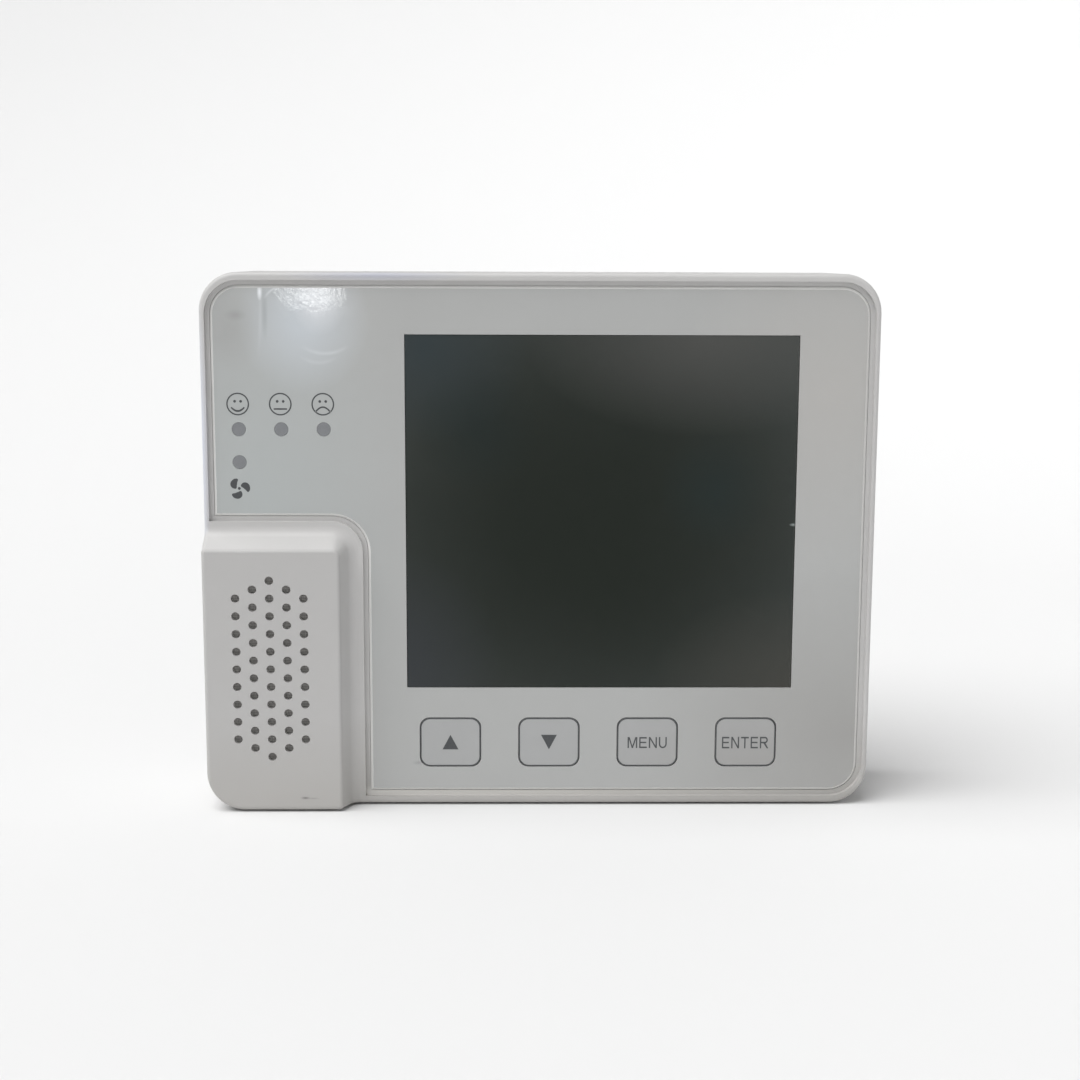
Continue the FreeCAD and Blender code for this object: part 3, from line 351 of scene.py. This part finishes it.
# Painted highlights along the creases in the protective film: centre, radii, width as a share of
# the radius, the mask's centre and radii, and how far the highlight goes to white. All lengths are
# in mm.
FILM_CREASE_HIGHLIGHTS = (
    ((-47.3, 48.5), (7.4, 6.3), 0.09, (-47.3, 42.4), (6.5, 2.6), 0.22),
    ((-48.6, 47.0), (6.6, 6.8), 0.09, (-49.0, 40.3), (5.5, 2.2), 0.12),
    ((-55.0, 51.6), (6.0, 5.4), 0.07, (-57.0, 56.4), (5.5, 3.2), 0.5),
    ((-92.2, 54.0), (31.0, 60.0), 0.016, (-60.8, 49.5), (3.0, 9.0), 0.1),
)
# The white of the painted highlights on the film.
FILM_HIGHLIGHT_WHITE = linear(236, 239, 242)
FILM_CORE = 0.15
# Size, upright stretch and depth of the wrinkles, in mm.
FILM_WRINKLES = ((0.7, 1.0, 0.016), (2.0, 0.7, 0.02), (4.5, 1.2, 0.02))
FILM_PAINTED_GLARE_AND_TONES = (
    # Painted reflection: a soft bluish white glare over the film's corner, brightest near its
    # middle.
    ((-52, 49.5), (14.5, 16.5), linear(200, 208, 216), 0.6),
    ((-48.5, 52.5), (5.8, 6.5), linear(222, 224, 228), 0.55),
    # Painted highlights along the lifted top edge of the film and a crease at its left.
    ((-48.4, 57.2), (5.4, 2.2), FILM_HIGHLIGHT_WHITE, 0.4),
    ((-53.5, 57.0), (9.5, 0.8), FILM_HIGHLIGHT_WHITE, 0.9),
    ((-61.3, 55.5), (0.65, 2.0), FILM_HIGHLIGHT_WHITE, 1.0),
    ((-62.1, 56.8), (1.3, 0.35), FILM_HIGHLIGHT_WHITE, 0.7),
    # Painted shadow beside that crease.
    ((-60.3, 51.0), (0.8, 6.5), linear(124, 128, 130), 0.3),
    # A darker spot at a dent, and a darker patch further left.
    ((-66.7, 50.5), (2.6, 1.4), linear(110, 110, 108), 0.28),
    ((-68, 47), (7, 9), linear(150, 149, 148), 0.4),
)


def make_finishes():
    """One material for each of the record's slots, and one for the printed ink."""
    made = {}

    def add(slot, *args, **settings):
        made[slot] = Finish(slot, *args, **settings)
        return made[slot]

    case = add("case", linear(189, 188, 187), 0.46, Specular_IOR_Level=0.45)
    case.mottle(9 * MM, 0.012).sheen_change(3 * MM, 0.42, 0.52)
    # Painted shade: the chamber's front is a little darker than the rest of the case.
    case.patch((-56, -35.0, -27), (60, 0.8, 90), linear(179, 178, 177), 1.0, 0.5)
    # Painted shade: the case grows darker towards its bottom.
    case.over(case.lower(-38 * MM, -60 * MM), linear(171, 169, 166))
    for tone in CASE_TONES_AND_PAINTED_LIGHT:
        case.patch(*tone)
    case.bump(case.noise(0.28 * MM, 3), 0.012 * MM).bump(case.noise(14 * MM, 1), 0.05 * MM)

    sheet = add("face_sheet", linear(170, 171, 170), 0.3, Coat_Roughness=0.05)
    sheet.mottle(25 * MM, 0.012)
    for tone in SHEET_TONES_AND_PAINTED_SHADE:
        sheet.patch(*tone)
    crease_film_and_paint_glare(sheet)
    # Painted highlight: the sheet's bevelled edges are lighter.
    sheet.over(sheet.tilt(), linear(226, 226, 224))
    sheet.bump(sheet.noise(2.5 * MM, 1), 0.0015 * MM)

    key = add("key", linear(163, 164, 164), 0.26, Coat_Weight=0.2, Coat_Roughness=0.12)
    # Painted shade: the keys are darker towards the lower right.
    key.mottle(8 * MM, 0.01).patch((58, -58), (50, 26), linear(148, 146, 143), 0.85)
    key.bump(key.noise(2.5 * MM, 1), 0.0015 * MM)

    pane = add("display_pane", linear(22, 27, 23), 0.12, Specular_IOR_Level=0.2)
    # Painted reflection: the display is darkest in its middle and lighter, unevenly, towards its
    # edges.
    reach = pane.reach((11.5 * MM, 4 * MM), (46 * MM, 43 * MM))
    uneven_reflection = pane.ranged(pane.noise(24 * MM, 2), 0.2, 0.8, -0.06, 0.06)
    depth = pane.calc("ADD", pane.calc("POWER", reach, 2.6), uneven_reflection)
    pane.tint(pane.ranged(depth, 0, 2.0, *NOISE_SPAN), linear(20, 27, 20), linear(60, 64, 62))
    for tone in PANE_PAINTED_REFLECTIONS:
        pane.patch(*tone)
    pane.bump(pane.noise(3 * MM, 1), 0.001 * MM)

    ink = add("ink", linear(74, 76, 78), 0.4, Specular_IOR_Level=0.3)
    ink.mottle(0.4 * MM, 0.08).bump(ink.noise(0.12 * MM, 2), 0.002 * MM)

    pipe = add("light_pipe", linear(122, 124, 127), 0.28)
    pipe.mottle(0.8 * MM, 0.03).bump(pipe.noise(0.2 * MM, 2), 0.002 * MM)

    foam = add("black_foam", linear(38, 38, 38), 0.9)
    foam.mottle(0.8 * MM, 0.3).bump(foam.cells(0.5 * MM), 0.08 * MM)

    glass = add("lcd", linear(88, 96, 88), 0.08, Coat_Weight=0.3)
    glass.mottle(20 * MM, 0.05).bump(glass.noise(4 * MM, 1), 0.001 * MM)

    white = add("white_moulding", linear(228, 227, 222), 0.42)
    white.mottle(4 * MM, 0.015).bump(white.noise(0.3 * MM, 2), 0.006 * MM)

    guide = add("light_guide", linear(235, 238, 236), 0.3)
    guide.mottle(10 * MM, 0.02).bump(guide.cells(0.6 * MM), 0.01 * MM)

    rubber = add("black_rubber", linear(40, 40, 41), 0.75)
    rubber.tint(rubber.waves(0.4 * MM, "X"), linear(28, 28, 28), linear(92, 90, 86))
    rubber.bump(rubber.noise(0.3 * MM, 2), 0.01 * MM)

    black = add("black_moulding", linear(34, 34, 35), 0.42)
    black.mottle(3 * MM, 0.12).bump(black.noise(0.25 * MM, 2), 0.008 * MM)

    diode = add("led", linear(240, 236, 214), 0.18, Coat_Weight=0.6)
    diode.mottle(0.7 * MM, 0.06).bump(diode.noise(0.3 * MM, 1), 0.003 * MM)

    board = add("board", linear(26, 92, 52), 0.3, Coat_Weight=0.4, Coat_Roughness=0.15)
    traces = board.tracks(7 * MM, 0.9 * MM, 0.6)
    board.tint(traces, linear(20, 80, 46), linear(40, 108, 64))
    board.bump(traces, 0.02 * MM).bump(board.noise(0.6 * MM, 2), 0.004 * MM)

    chip = add("chip", linear(36, 36, 38), 0.5)
    chip.mottle(1.5 * MM, 0.12).bump(chip.noise(0.12 * MM, 2), 0.006 * MM)

    bright = add("bright_metal", linear(190, 190, 186), 0.3, Metallic=1.0)
    bright.mottle(1.2 * MM, 0.06).sheen_change(0.6 * MM, 0.24, 0.4)
    bright.bump(bright.noise(0.2 * MM, 2, (1, 1, 6)), 0.004 * MM)

    relay = add("relay_blue", linear(42, 98, 170), 0.32)
    relay.mottle(3 * MM, 0.05).bump(relay.noise(0.3 * MM, 2), 0.006 * MM)

    can = add("can_metal", linear(200, 200, 202), 0.26, Metallic=1.0)
    can.mottle(1.6 * MM, 0.05).sheen_change(0.8 * MM, 0.2, 0.36, (1, 1, 5))
    can.bump(can.noise(0.25 * MM, 2, (1, 5, 1)), 0.004 * MM)

    dipped = add("varistor_blue", linear(40, 84, 150), 0.25, Coat_Weight=0.5)
    dipped.mottle(2 * MM, 0.08).bump(dipped.noise(1.5 * MM, 2), 0.05 * MM)

    fuse = add("fuse_glass", linear(205, 210, 206), 0.08, Transmission_Weight=0.3)
    fuse.mottle(1.2 * MM, 0.03).bump(fuse.noise(1.0 * MM, 1), 0.004 * MM)

    green = add("terminal_green", linear(58, 140, 84), 0.4)
    green.mottle(3 * MM, 0.05).bump(green.noise(0.3 * MM, 2), 0.008 * MM)

    gold = add("gold_cell", linear(214, 178, 96), 0.3, Metallic=1.0)
    gold.mottle(5 * MM, 0.06).sheen_change(1.5 * MM, 0.24, 0.42)
    gold.bump(gold.noise(0.35 * MM, 2), 0.006 * MM)

    membrane = add("membrane", linear(236, 236, 232), 0.95)
    membrane.mottle(0.6 * MM, 0.04).bump(membrane.cells(0.25 * MM), 0.03 * MM)

    mesh = add("mesh", linear(110, 109, 108), 0.85)
    weave = mesh.waves(0.35 * MM, "X")
    mesh.tint(mesh.waves(0.35 * MM, "Z"), linear(126, 124, 122), linear(176, 174, 171))
    mesh.bump(weave, 0.06 * MM)

    ribbon = add("ribbon", linear(226, 226, 220), 0.35)
    ribbon.tint(ribbon.waves(0.5 * MM, "Z"), linear(150, 150, 148), linear(232, 232, 226))
    ribbon.bump(ribbon.waves(0.5 * MM, "Z"), 0.03 * MM)
    return {slot: finish.material for slot, finish in made.items()}


def crease_film_and_paint_glare(sheet):
    """The clear protective film on the sheet has lifted and creased in one corner.

    Its glare, the highlights along its creases and a shadow beside one are painted into the
    colour.
    """
    corner = sheet.spot((-54 * MM, 52 * MM), (24 * MM, 17 * MM), 0.55)
    sheet.links.new(corner, sheet.shader.inputs["Coat Weight"])
    for tone in FILM_PAINTED_GLARE_AND_TONES:
        sheet.patch(*tone, FILM_CORE)
    # Painted highlights along the film's creases.
    for centre, radii, width, mask_centre, mask_radii, share in FILM_CREASE_HIGHLIGHTS:
        crease_highlight = sheet.ridge([v * MM for v in centre], [v * MM for v in radii], width)
        mask = sheet.spot([v * MM for v in mask_centre], [v * MM for v in mask_radii], 0.3)
        part = sheet.calc("MULTIPLY", sheet.calc("MULTIPLY", crease_highlight, mask), share)
        sheet.over(part, FILM_HIGHLIGHT_WHITE)
    # Painted glint: fine white flecks in the brightest part of the film's glare.
    glint_flecks = sheet.ranged(sheet.noise(0.7 * MM, 2), 0.5, 0.62, 0, 0.45)
    glint_fleck_zone = sheet.spot((-49 * MM, 55 * MM), (5.5 * MM, 5.5 * MM), 0.4)
    sheet.over(sheet.calc("MULTIPLY", glint_flecks, glint_fleck_zone), FILM_HIGHLIGHT_WHITE)
    wrinkled = sheet.spot((-52 * MM, 60 * MM), (13 * MM, 12 * MM), 0.3)
    for size, stretch, depth in FILM_WRINKLES:
        wrinkles = sheet.noise(size * MM, 2, (1, 1, stretch))
        sheet.bump(sheet.calc("MULTIPLY", wrinkles, wrinkled), depth * MM, "Coat Normal")
    sheet.bump(sheet.calc("MULTIPLY", sheet.noise(6 * MM, 1), corner), 0.01 * MM,
               "Coat Normal")


def paint_frame(finishes):
    """Give each CAD node the material of its slot."""
    for part in frame["record"]["subparts"]:
        node = frame["nodes"][part["node"]]
        node.data.materials.clear()
        node.data.materials.append(finishes[part["material_slot"]])


# ---------------------------------------------------------------- printed ink

INK_RISE = 0.02 * MM
INK_ROOT = 0.02 * MM
CURVE_STEPS = 12
BOW_STEPS = 20


def finish_piece(name, mesh, body, material):
    """Turn a mesh in the row frame into a piece that rides on a body."""
    piece = bpy.data.objects.new(name, mesh)
    piece.data.materials.clear()
    piece.data.materials.append(material)
    bpy.context.scene.collection.objects.link(piece)
    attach(piece, body)
    return piece


def curve_mesh(curve, centre, fit=None):
    """A flat curve or text as a thin closed slab, standing upright on the face."""
    holder = bpy.data.objects.new("holder", curve)
    bpy.context.scene.collection.objects.link(holder)
    bpy.context.view_layer.update()
    mesh = bpy.data.meshes.new_from_object(
        holder.evaluated_get(bpy.context.evaluated_depsgraph_get()))
    bpy.data.objects.remove(holder)
    if fit:
        fit_mesh(mesh, *fit)
    mesh.transform(Matrix.Rotation(math.pi / 2, 4, "X"))
    mesh.transform(Matrix.Translation(centre))
    solid = bmesh.new()
    solid.from_mesh(mesh)
    bmesh.ops.remove_doubles(solid, verts=solid.verts, dist=SAME_PLACE)
    bmesh.ops.recalc_face_normals(solid, faces=solid.faces)
    solid.to_mesh(mesh)
    solid.free()
    return mesh


def fit_mesh(mesh, width, height):
    """Scale a flat mesh about its middle to a width and height."""
    xs = [vertex.co.x for vertex in mesh.vertices]
    ys = [vertex.co.y for vertex in mesh.vertices]
    centre = Vector(((min(xs) + max(xs)) / 2, (min(ys) + max(ys)) / 2, 0))
    mesh.transform(Matrix.Translation(-centre))
    mesh.transform(Matrix.Diagonal((width / (max(xs) - min(xs)),
                                    height / (max(ys) - min(ys)), 1, 1)))


def flat_curve(name):
    """An empty filled curve with the thickness of an ink layer."""
    curve = bpy.data.curves.new(name, "CURVE")
    curve.dimensions = "2D"
    curve.fill_mode = "BOTH"
    curve.extrude = (INK_RISE + INK_ROOT) / 2
    curve.resolution_u = CURVE_STEPS
    return curve


def add_loop(curve, points, smooth=False):
    """A closed outline through points; a smooth one is rounded at each."""
    spline = curve.splines.new("BEZIER" if smooth else "POLY")
    if smooth:
        spline.bezier_points.add(len(points) - 1)
        for knot, (x, y) in zip(spline.bezier_points, points):
            knot.co = (x, y, 0)
            knot.handle_left_type = "AUTO"
            knot.handle_right_type = "AUTO"
    else:
        spline.points.add(len(points) - 1)
        for knot, (x, y) in zip(spline.points, points):
            knot.co = (x, y, 0, 1)
    spline.use_cyclic_u = True


def arc_points(centre, radius, start, end, steps):
    """Points along an arc, angles in degrees."""
    x, y = centre
    angles = [math.radians(start + (end - start) * i / steps) for i in range(steps + 1)]
    return [(x + radius * math.cos(a), y + radius * math.sin(a)) for a in angles]


def circle_points(centre, radius, steps):
    """Points round a circle."""
    return arc_points(centre, radius, 0, 360 * (steps - 1) / steps, steps - 1)


def rounded_box_points(width, height, radius):
    """The outline of a rectangle with round corners, about the origin."""
    points = []
    for x, y, start in ((1, 1, 0), (-1, 1, 90), (-1, -1, 180), (1, -1, 270)):
        centre = (x * (width / 2 - radius), y * (height / 2 - radius))
        points += arc_points(centre, radius, start, start + 90, CURVE_STEPS)
    return points


def bow_points(start, end, sag, width, swell):
    """A stroke along a bow from start to end, as wide as width and wider by swell halfway."""
    (x0, y0), (x1, y1) = start, end
    spine = []
    for i in range(BOW_STEPS + 1):
        t = i / BOW_STEPS
        spine.append((x0 + (x1 - x0) * t, y0 + (y1 - y0) * t + sag * 4 * t * (1 - t)))
    upper = []
    lower = []
    for i, (x, y) in enumerate(spine):
        before = spine[max(i - 1, 0)]
        after = spine[min(i + 1, BOW_STEPS)]
        along = Vector((after[0] - before[0], after[1] - before[1])).normalized()
        t = i / BOW_STEPS
        half = (width + swell * 4 * t * (1 - t)) / 2
        upper.append((x - along.y * half, y + along.x * half))
        lower.append((x + along.y * half, y - along.x * half))
    return upper + lower[::-1]


def print_on(name, curve, centre, body, finishes, fit=None):
    """Lay an ink shape on the face at a centre, and let it ride on a body."""
    place = Vector((centre.x, face_front - (INK_RISE - INK_ROOT) / 2, centre.z))
    mesh = curve_mesh(curve, place, fit)
    return finish_piece(name, mesh, body, finishes["ink"])


# Each letter's width and its outlines, as shares of its height.
STEM = 0.13
LETTER_GAP = 0.2
BOWL = (0.52, 0.72)
LETTERS = {
    "E": (0.76, [[(0, 0), (0.76, 0), (0.76, STEM), (STEM, STEM), (STEM, 0.45), (0.7, 0.45),
                  (0.7, 0.57), (STEM, 0.57), (STEM, 0.87), (0.74, 0.87), (0.74, 1), (0, 1)]]),
    "M": (0.96, [[(0, 0), (STEM, 0), (STEM, 0.82), (0.42, 0), (0.54, 0), (0.83, 0.82),
                  (0.83, 0), (0.96, 0), (0.96, 1), (0.77, 1), (0.48, 0.2), (0.19, 1), (0, 1)]]),
    "N": (0.8, [[(0, 0), (STEM, 0), (STEM, 0.79), (0.66, 0), (0.8, 0), (0.8, 1), (0.67, 1),
                 (0.67, 0.21), (0.14, 1), (0, 1)]]),
    "T": (0.8, [[(0.335, 0), (0.465, 0), (0.465, 0.87), (0.8, 0.87), (0.8, 1), (0, 1),
                 (0, 0.87), (0.335, 0.87)]]),
    "U": (0.78, [[(0, 1), *arc_points((0.39, 0.375), 0.39, 180, 360, 16), (0.78, 1),
                  (0.65, 1), *arc_points((0.39, 0.375), 0.26, 360, 180, 16), (STEM, 1)]]),
    "R": (0.88, [[(0, 0), (STEM, 0), (STEM, 0.44), (0.36, 0.44), (0.71, 0), (0.88, 0),
                  (0.57, 0.445), *arc_points(BOWL, 0.28, -75, 90, 12), (0, 1)],
                 [(STEM, 0.565), *arc_points(BOWL, 0.15, -90, 90, 10), (STEM, 0.87)]]),
}

KEY_LIP = 0.8 * MM
KEY_EDGE = 0.03 * MM
KEY_LINE = 0.26 * MM
KEY_CORNER = 2.3 * MM
ARROW_HALF = 1.8 * MM
ARROW_RISE = 1.7 * MM
WORD_SIZES = {"menu": (8.9 * MM, 2.6 * MM), "enter": (10.6 * MM, 2.7 * MM)}
WORD_DROP = 0.15 * MM


def add_key_prints(finishes):
    """Each key has an outline round its cap, and an arrow or a word."""
    for key in KEYS:
        low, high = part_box("switch_plunger_" + key)
        cap_low, cap_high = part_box("key_cap_" + key)
        centre = Vector(((low.x + high.x) / 2, 0, (low.z + high.z) / 2))
        width = cap_high.x - cap_low.x - KEY_LIP * 2
        height = cap_high.z - cap_low.z - KEY_LIP * 2
        ring = flat_curve("ring")
        for inset in (KEY_EDGE, KEY_EDGE + KEY_LINE):
            add_loop(ring, rounded_box_points(width - inset * 2, height - inset * 2,
                                              KEY_CORNER - inset))
        print_on("key_outline_" + key, ring, centre, "key_" + key, finishes)
        if key in WORD_SIZES:
            word = flat_curve("word")
            start = 0
            for letter in key.upper():
                width, loops = LETTERS[letter]
                for loop in loops:
                    add_loop(word, [(x + start, y) for x, y in loop])
                start += width + LETTER_GAP
            centre.z -= WORD_DROP
            print_on("key_word_" + key, word, centre, "key_" + key, finishes,
                     WORD_SIZES[key])
        else:
            side = 1 if key == "up" else -1
            arrow = flat_curve("arrow")
            add_loop(arrow, [(-ARROW_HALF, -ARROW_RISE * side), (ARROW_HALF, -ARROW_RISE * side),
                             (0, ARROW_RISE * side)])
            print_on("key_arrow_" + key, arrow, centre, "key_" + key, finishes)


FACE_RADIUS = 2.5 * MM
FACE_LINE = 0.3 * MM
FACE_STEPS = 48
DOT_STEPS = 24
EYE_X = 0.66 * MM
EYE_Z = 0.6 * MM
EYE_RADIUS = 0.3 * MM
FACE_PLACE = Vector((-0.12 * MM, 0, 5.56 * MM))
FAN_PLACE = Vector((-0.2 * MM, 0, -5.84 * MM))
# Start, end, sag and swell of each mouth, in mm.
MOUTHS = {
    "good": ((-1.45, -0.72), (1.45, -0.72), -0.82, 0.12),
    "fair": ((-1.48, -1.07), (1.48, -1.07), 0.0, 0.05),
    "poor": ((-1.62, -1.72), (1.62, -1.72), 1.08, 0.04),
}
HUB_RADIUS = 0.32 * MM
FAN_BLADES = 3
# The outline of the first blade, in mm.
FAN_BLADE = ((-0.3, 2.06), (-0.75, 2.2), (-1.45, 1.9), (-1.92, 1.2), (-1.78, 0.38),
             (-1.2, -0.02), (-0.68, 0.0), (-0.55, 0.6), (-0.42, 1.35))


def add_face_prints(finishes):
    """Three faces over the status lights, and a fan under the fourth light."""
    lights = [(low + high) / 2 for low, high in solid_boxes("light_pipes")]
    fan_light = min(lights, key=lambda point: point.z)
    row = sorted((point for point in lights if point is not fan_light), key=lambda p: p.x)
    for (mood, mouth), light in zip(MOUTHS.items(), row):
        start, end, sag, swell = mouth
        face = flat_curve("face")
        add_loop(face, circle_points((0, 0), FACE_RADIUS, FACE_STEPS))
        add_loop(face, circle_points((0, 0), FACE_RADIUS - FACE_LINE, FACE_STEPS))
        for side in (-1, 1):
            add_loop(face, circle_points((side * EYE_X, EYE_Z), EYE_RADIUS, DOT_STEPS))
        add_loop(face, bow_points([part * MM for part in start], [part * MM for part in end],
                                  sag * MM, FACE_LINE, swell * MM))
        print_on("status_face_" + mood, face, light + FACE_PLACE, DEVICE, finishes)
    fan = flat_curve("fan")
    add_loop(fan, circle_points((0, 0), HUB_RADIUS, DOT_STEPS))
    for i in range(FAN_BLADES):
        turn = -2 * math.pi * i / FAN_BLADES
        blade = [(x * math.cos(turn) - y * math.sin(turn), x * math.sin(turn) + y * math.cos(turn))
                 for x, y in FAN_BLADE]
        add_loop(fan, [(x * MM, y * MM) for x, y in blade], smooth=True)
    print_on("fan_symbol", fan, fan_light + FAN_PLACE, DEVICE, finishes)


# ---------------------------------------------------------------- stage

FLOOR_DROP = 0.4 * MM
# The floor is flat near the object, and turns up in a bowl outside that.
FLAT_RADIUS = 0.35
BOWL_RADIUS = 1.5
BOWL_TURN = 75
BOWL_STEPS = 24
TURN_STEPS = 96


def add_stage():
    """A pale floor that rises softly into a bowl on every side."""
    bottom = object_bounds()[0].z - FLOOR_DROP
    profile = [(FLAT_RADIUS, 0)]
    for i in range(1, BOWL_STEPS + 1):
        angle = math.radians(BOWL_TURN * i / BOWL_STEPS)
        profile.append((FLAT_RADIUS + BOWL_RADIUS * math.sin(angle),
                        BOWL_RADIUS * (1 - math.cos(angle))))
    mesh = bmesh.new()
    rings = []
    for radius, height in profile:
        ring = []
        for i in range(TURN_STEPS):
            turn = 2 * math.pi * i / TURN_STEPS
            ring.append(mesh.verts.new((radius * math.cos(turn), radius * math.sin(turn),
                                        bottom + height)))
        rings.append(ring)
    mesh.faces.new(rings[0])
    for inner, outer in zip(rings, rings[1:]):
        for i in range(TURN_STEPS):
            j = (i + 1) % TURN_STEPS
            mesh.faces.new((inner[i], inner[j], outer[j], outer[i]))
    bmesh.ops.recalc_face_normals(mesh, faces=mesh.faces)
    for face in mesh.faces:
        face.smooth = len(face.verts) == 4
    data = bpy.data.meshes.new("floor")
    mesh.to_mesh(data)
    mesh.free()
    floor = bpy.data.objects.new("floor", data)
    bpy.context.scene.collection.objects.link(floor)
    paint = Finish("floor_paint", linear(224, 224, 224), 0.9)
    data.materials.append(paint.material)


SKY = 0.2
SUN_POWER = 3.3
SUN_SPREAD = 55
SUN_FROM = (-0.4, -0.27, 0.88)
GLINT_PLACE = (-0.1156, -0.6, 0.0455)
GLINT_TARGET = (-0.05, 0, 0.05)
GLINT_SIZE = (0.034, 0.021)
GLINT_POWER = 0.017


def facing(place, target):
    """The angles that turn a light at a place towards a target."""
    return (Vector(target) - Vector(place)).to_track_quat("-Z", "Y").to_euler()


def add_lights():
    """Soft light from above and the left, and a small bright window in front."""
    world = bpy.data.worlds.new("room")
    world.use_nodes = True
    background = world.node_tree.nodes["Background"]
    background.inputs["Color"].default_value = (1, 1, 1, 1)
    background.inputs["Strength"].default_value = SKY
    bpy.context.scene.world = world
    sun = bpy.data.lights.new("softbox", "SUN")
    sun.energy = SUN_POWER
    sun.angle = math.radians(SUN_SPREAD)
    softbox = bpy.data.objects.new("softbox", sun)
    softbox.rotation_euler = facing(SUN_FROM, (0, 0, 0))
    bpy.context.scene.collection.objects.link(softbox)
    glint = bpy.data.lights.new("glint", "AREA")
    glint.shape = "RECTANGLE"
    glint.size, glint.size_y = GLINT_SIZE
    glint.energy = GLINT_POWER
    window = bpy.data.objects.new("glint", glint)
    window.location = GLINT_PLACE
    window.rotation_euler = facing(GLINT_PLACE, GLINT_TARGET)
    window.visible_camera = False
    bpy.context.scene.collection.objects.link(window)


bpy.context.scene.view_settings.view_transform = "Standard"
add_camera()
finishes = make_finishes()
paint_frame(finishes)
add_key_prints(finishes)
add_face_prints(finishes)
add_stage()
add_lights()
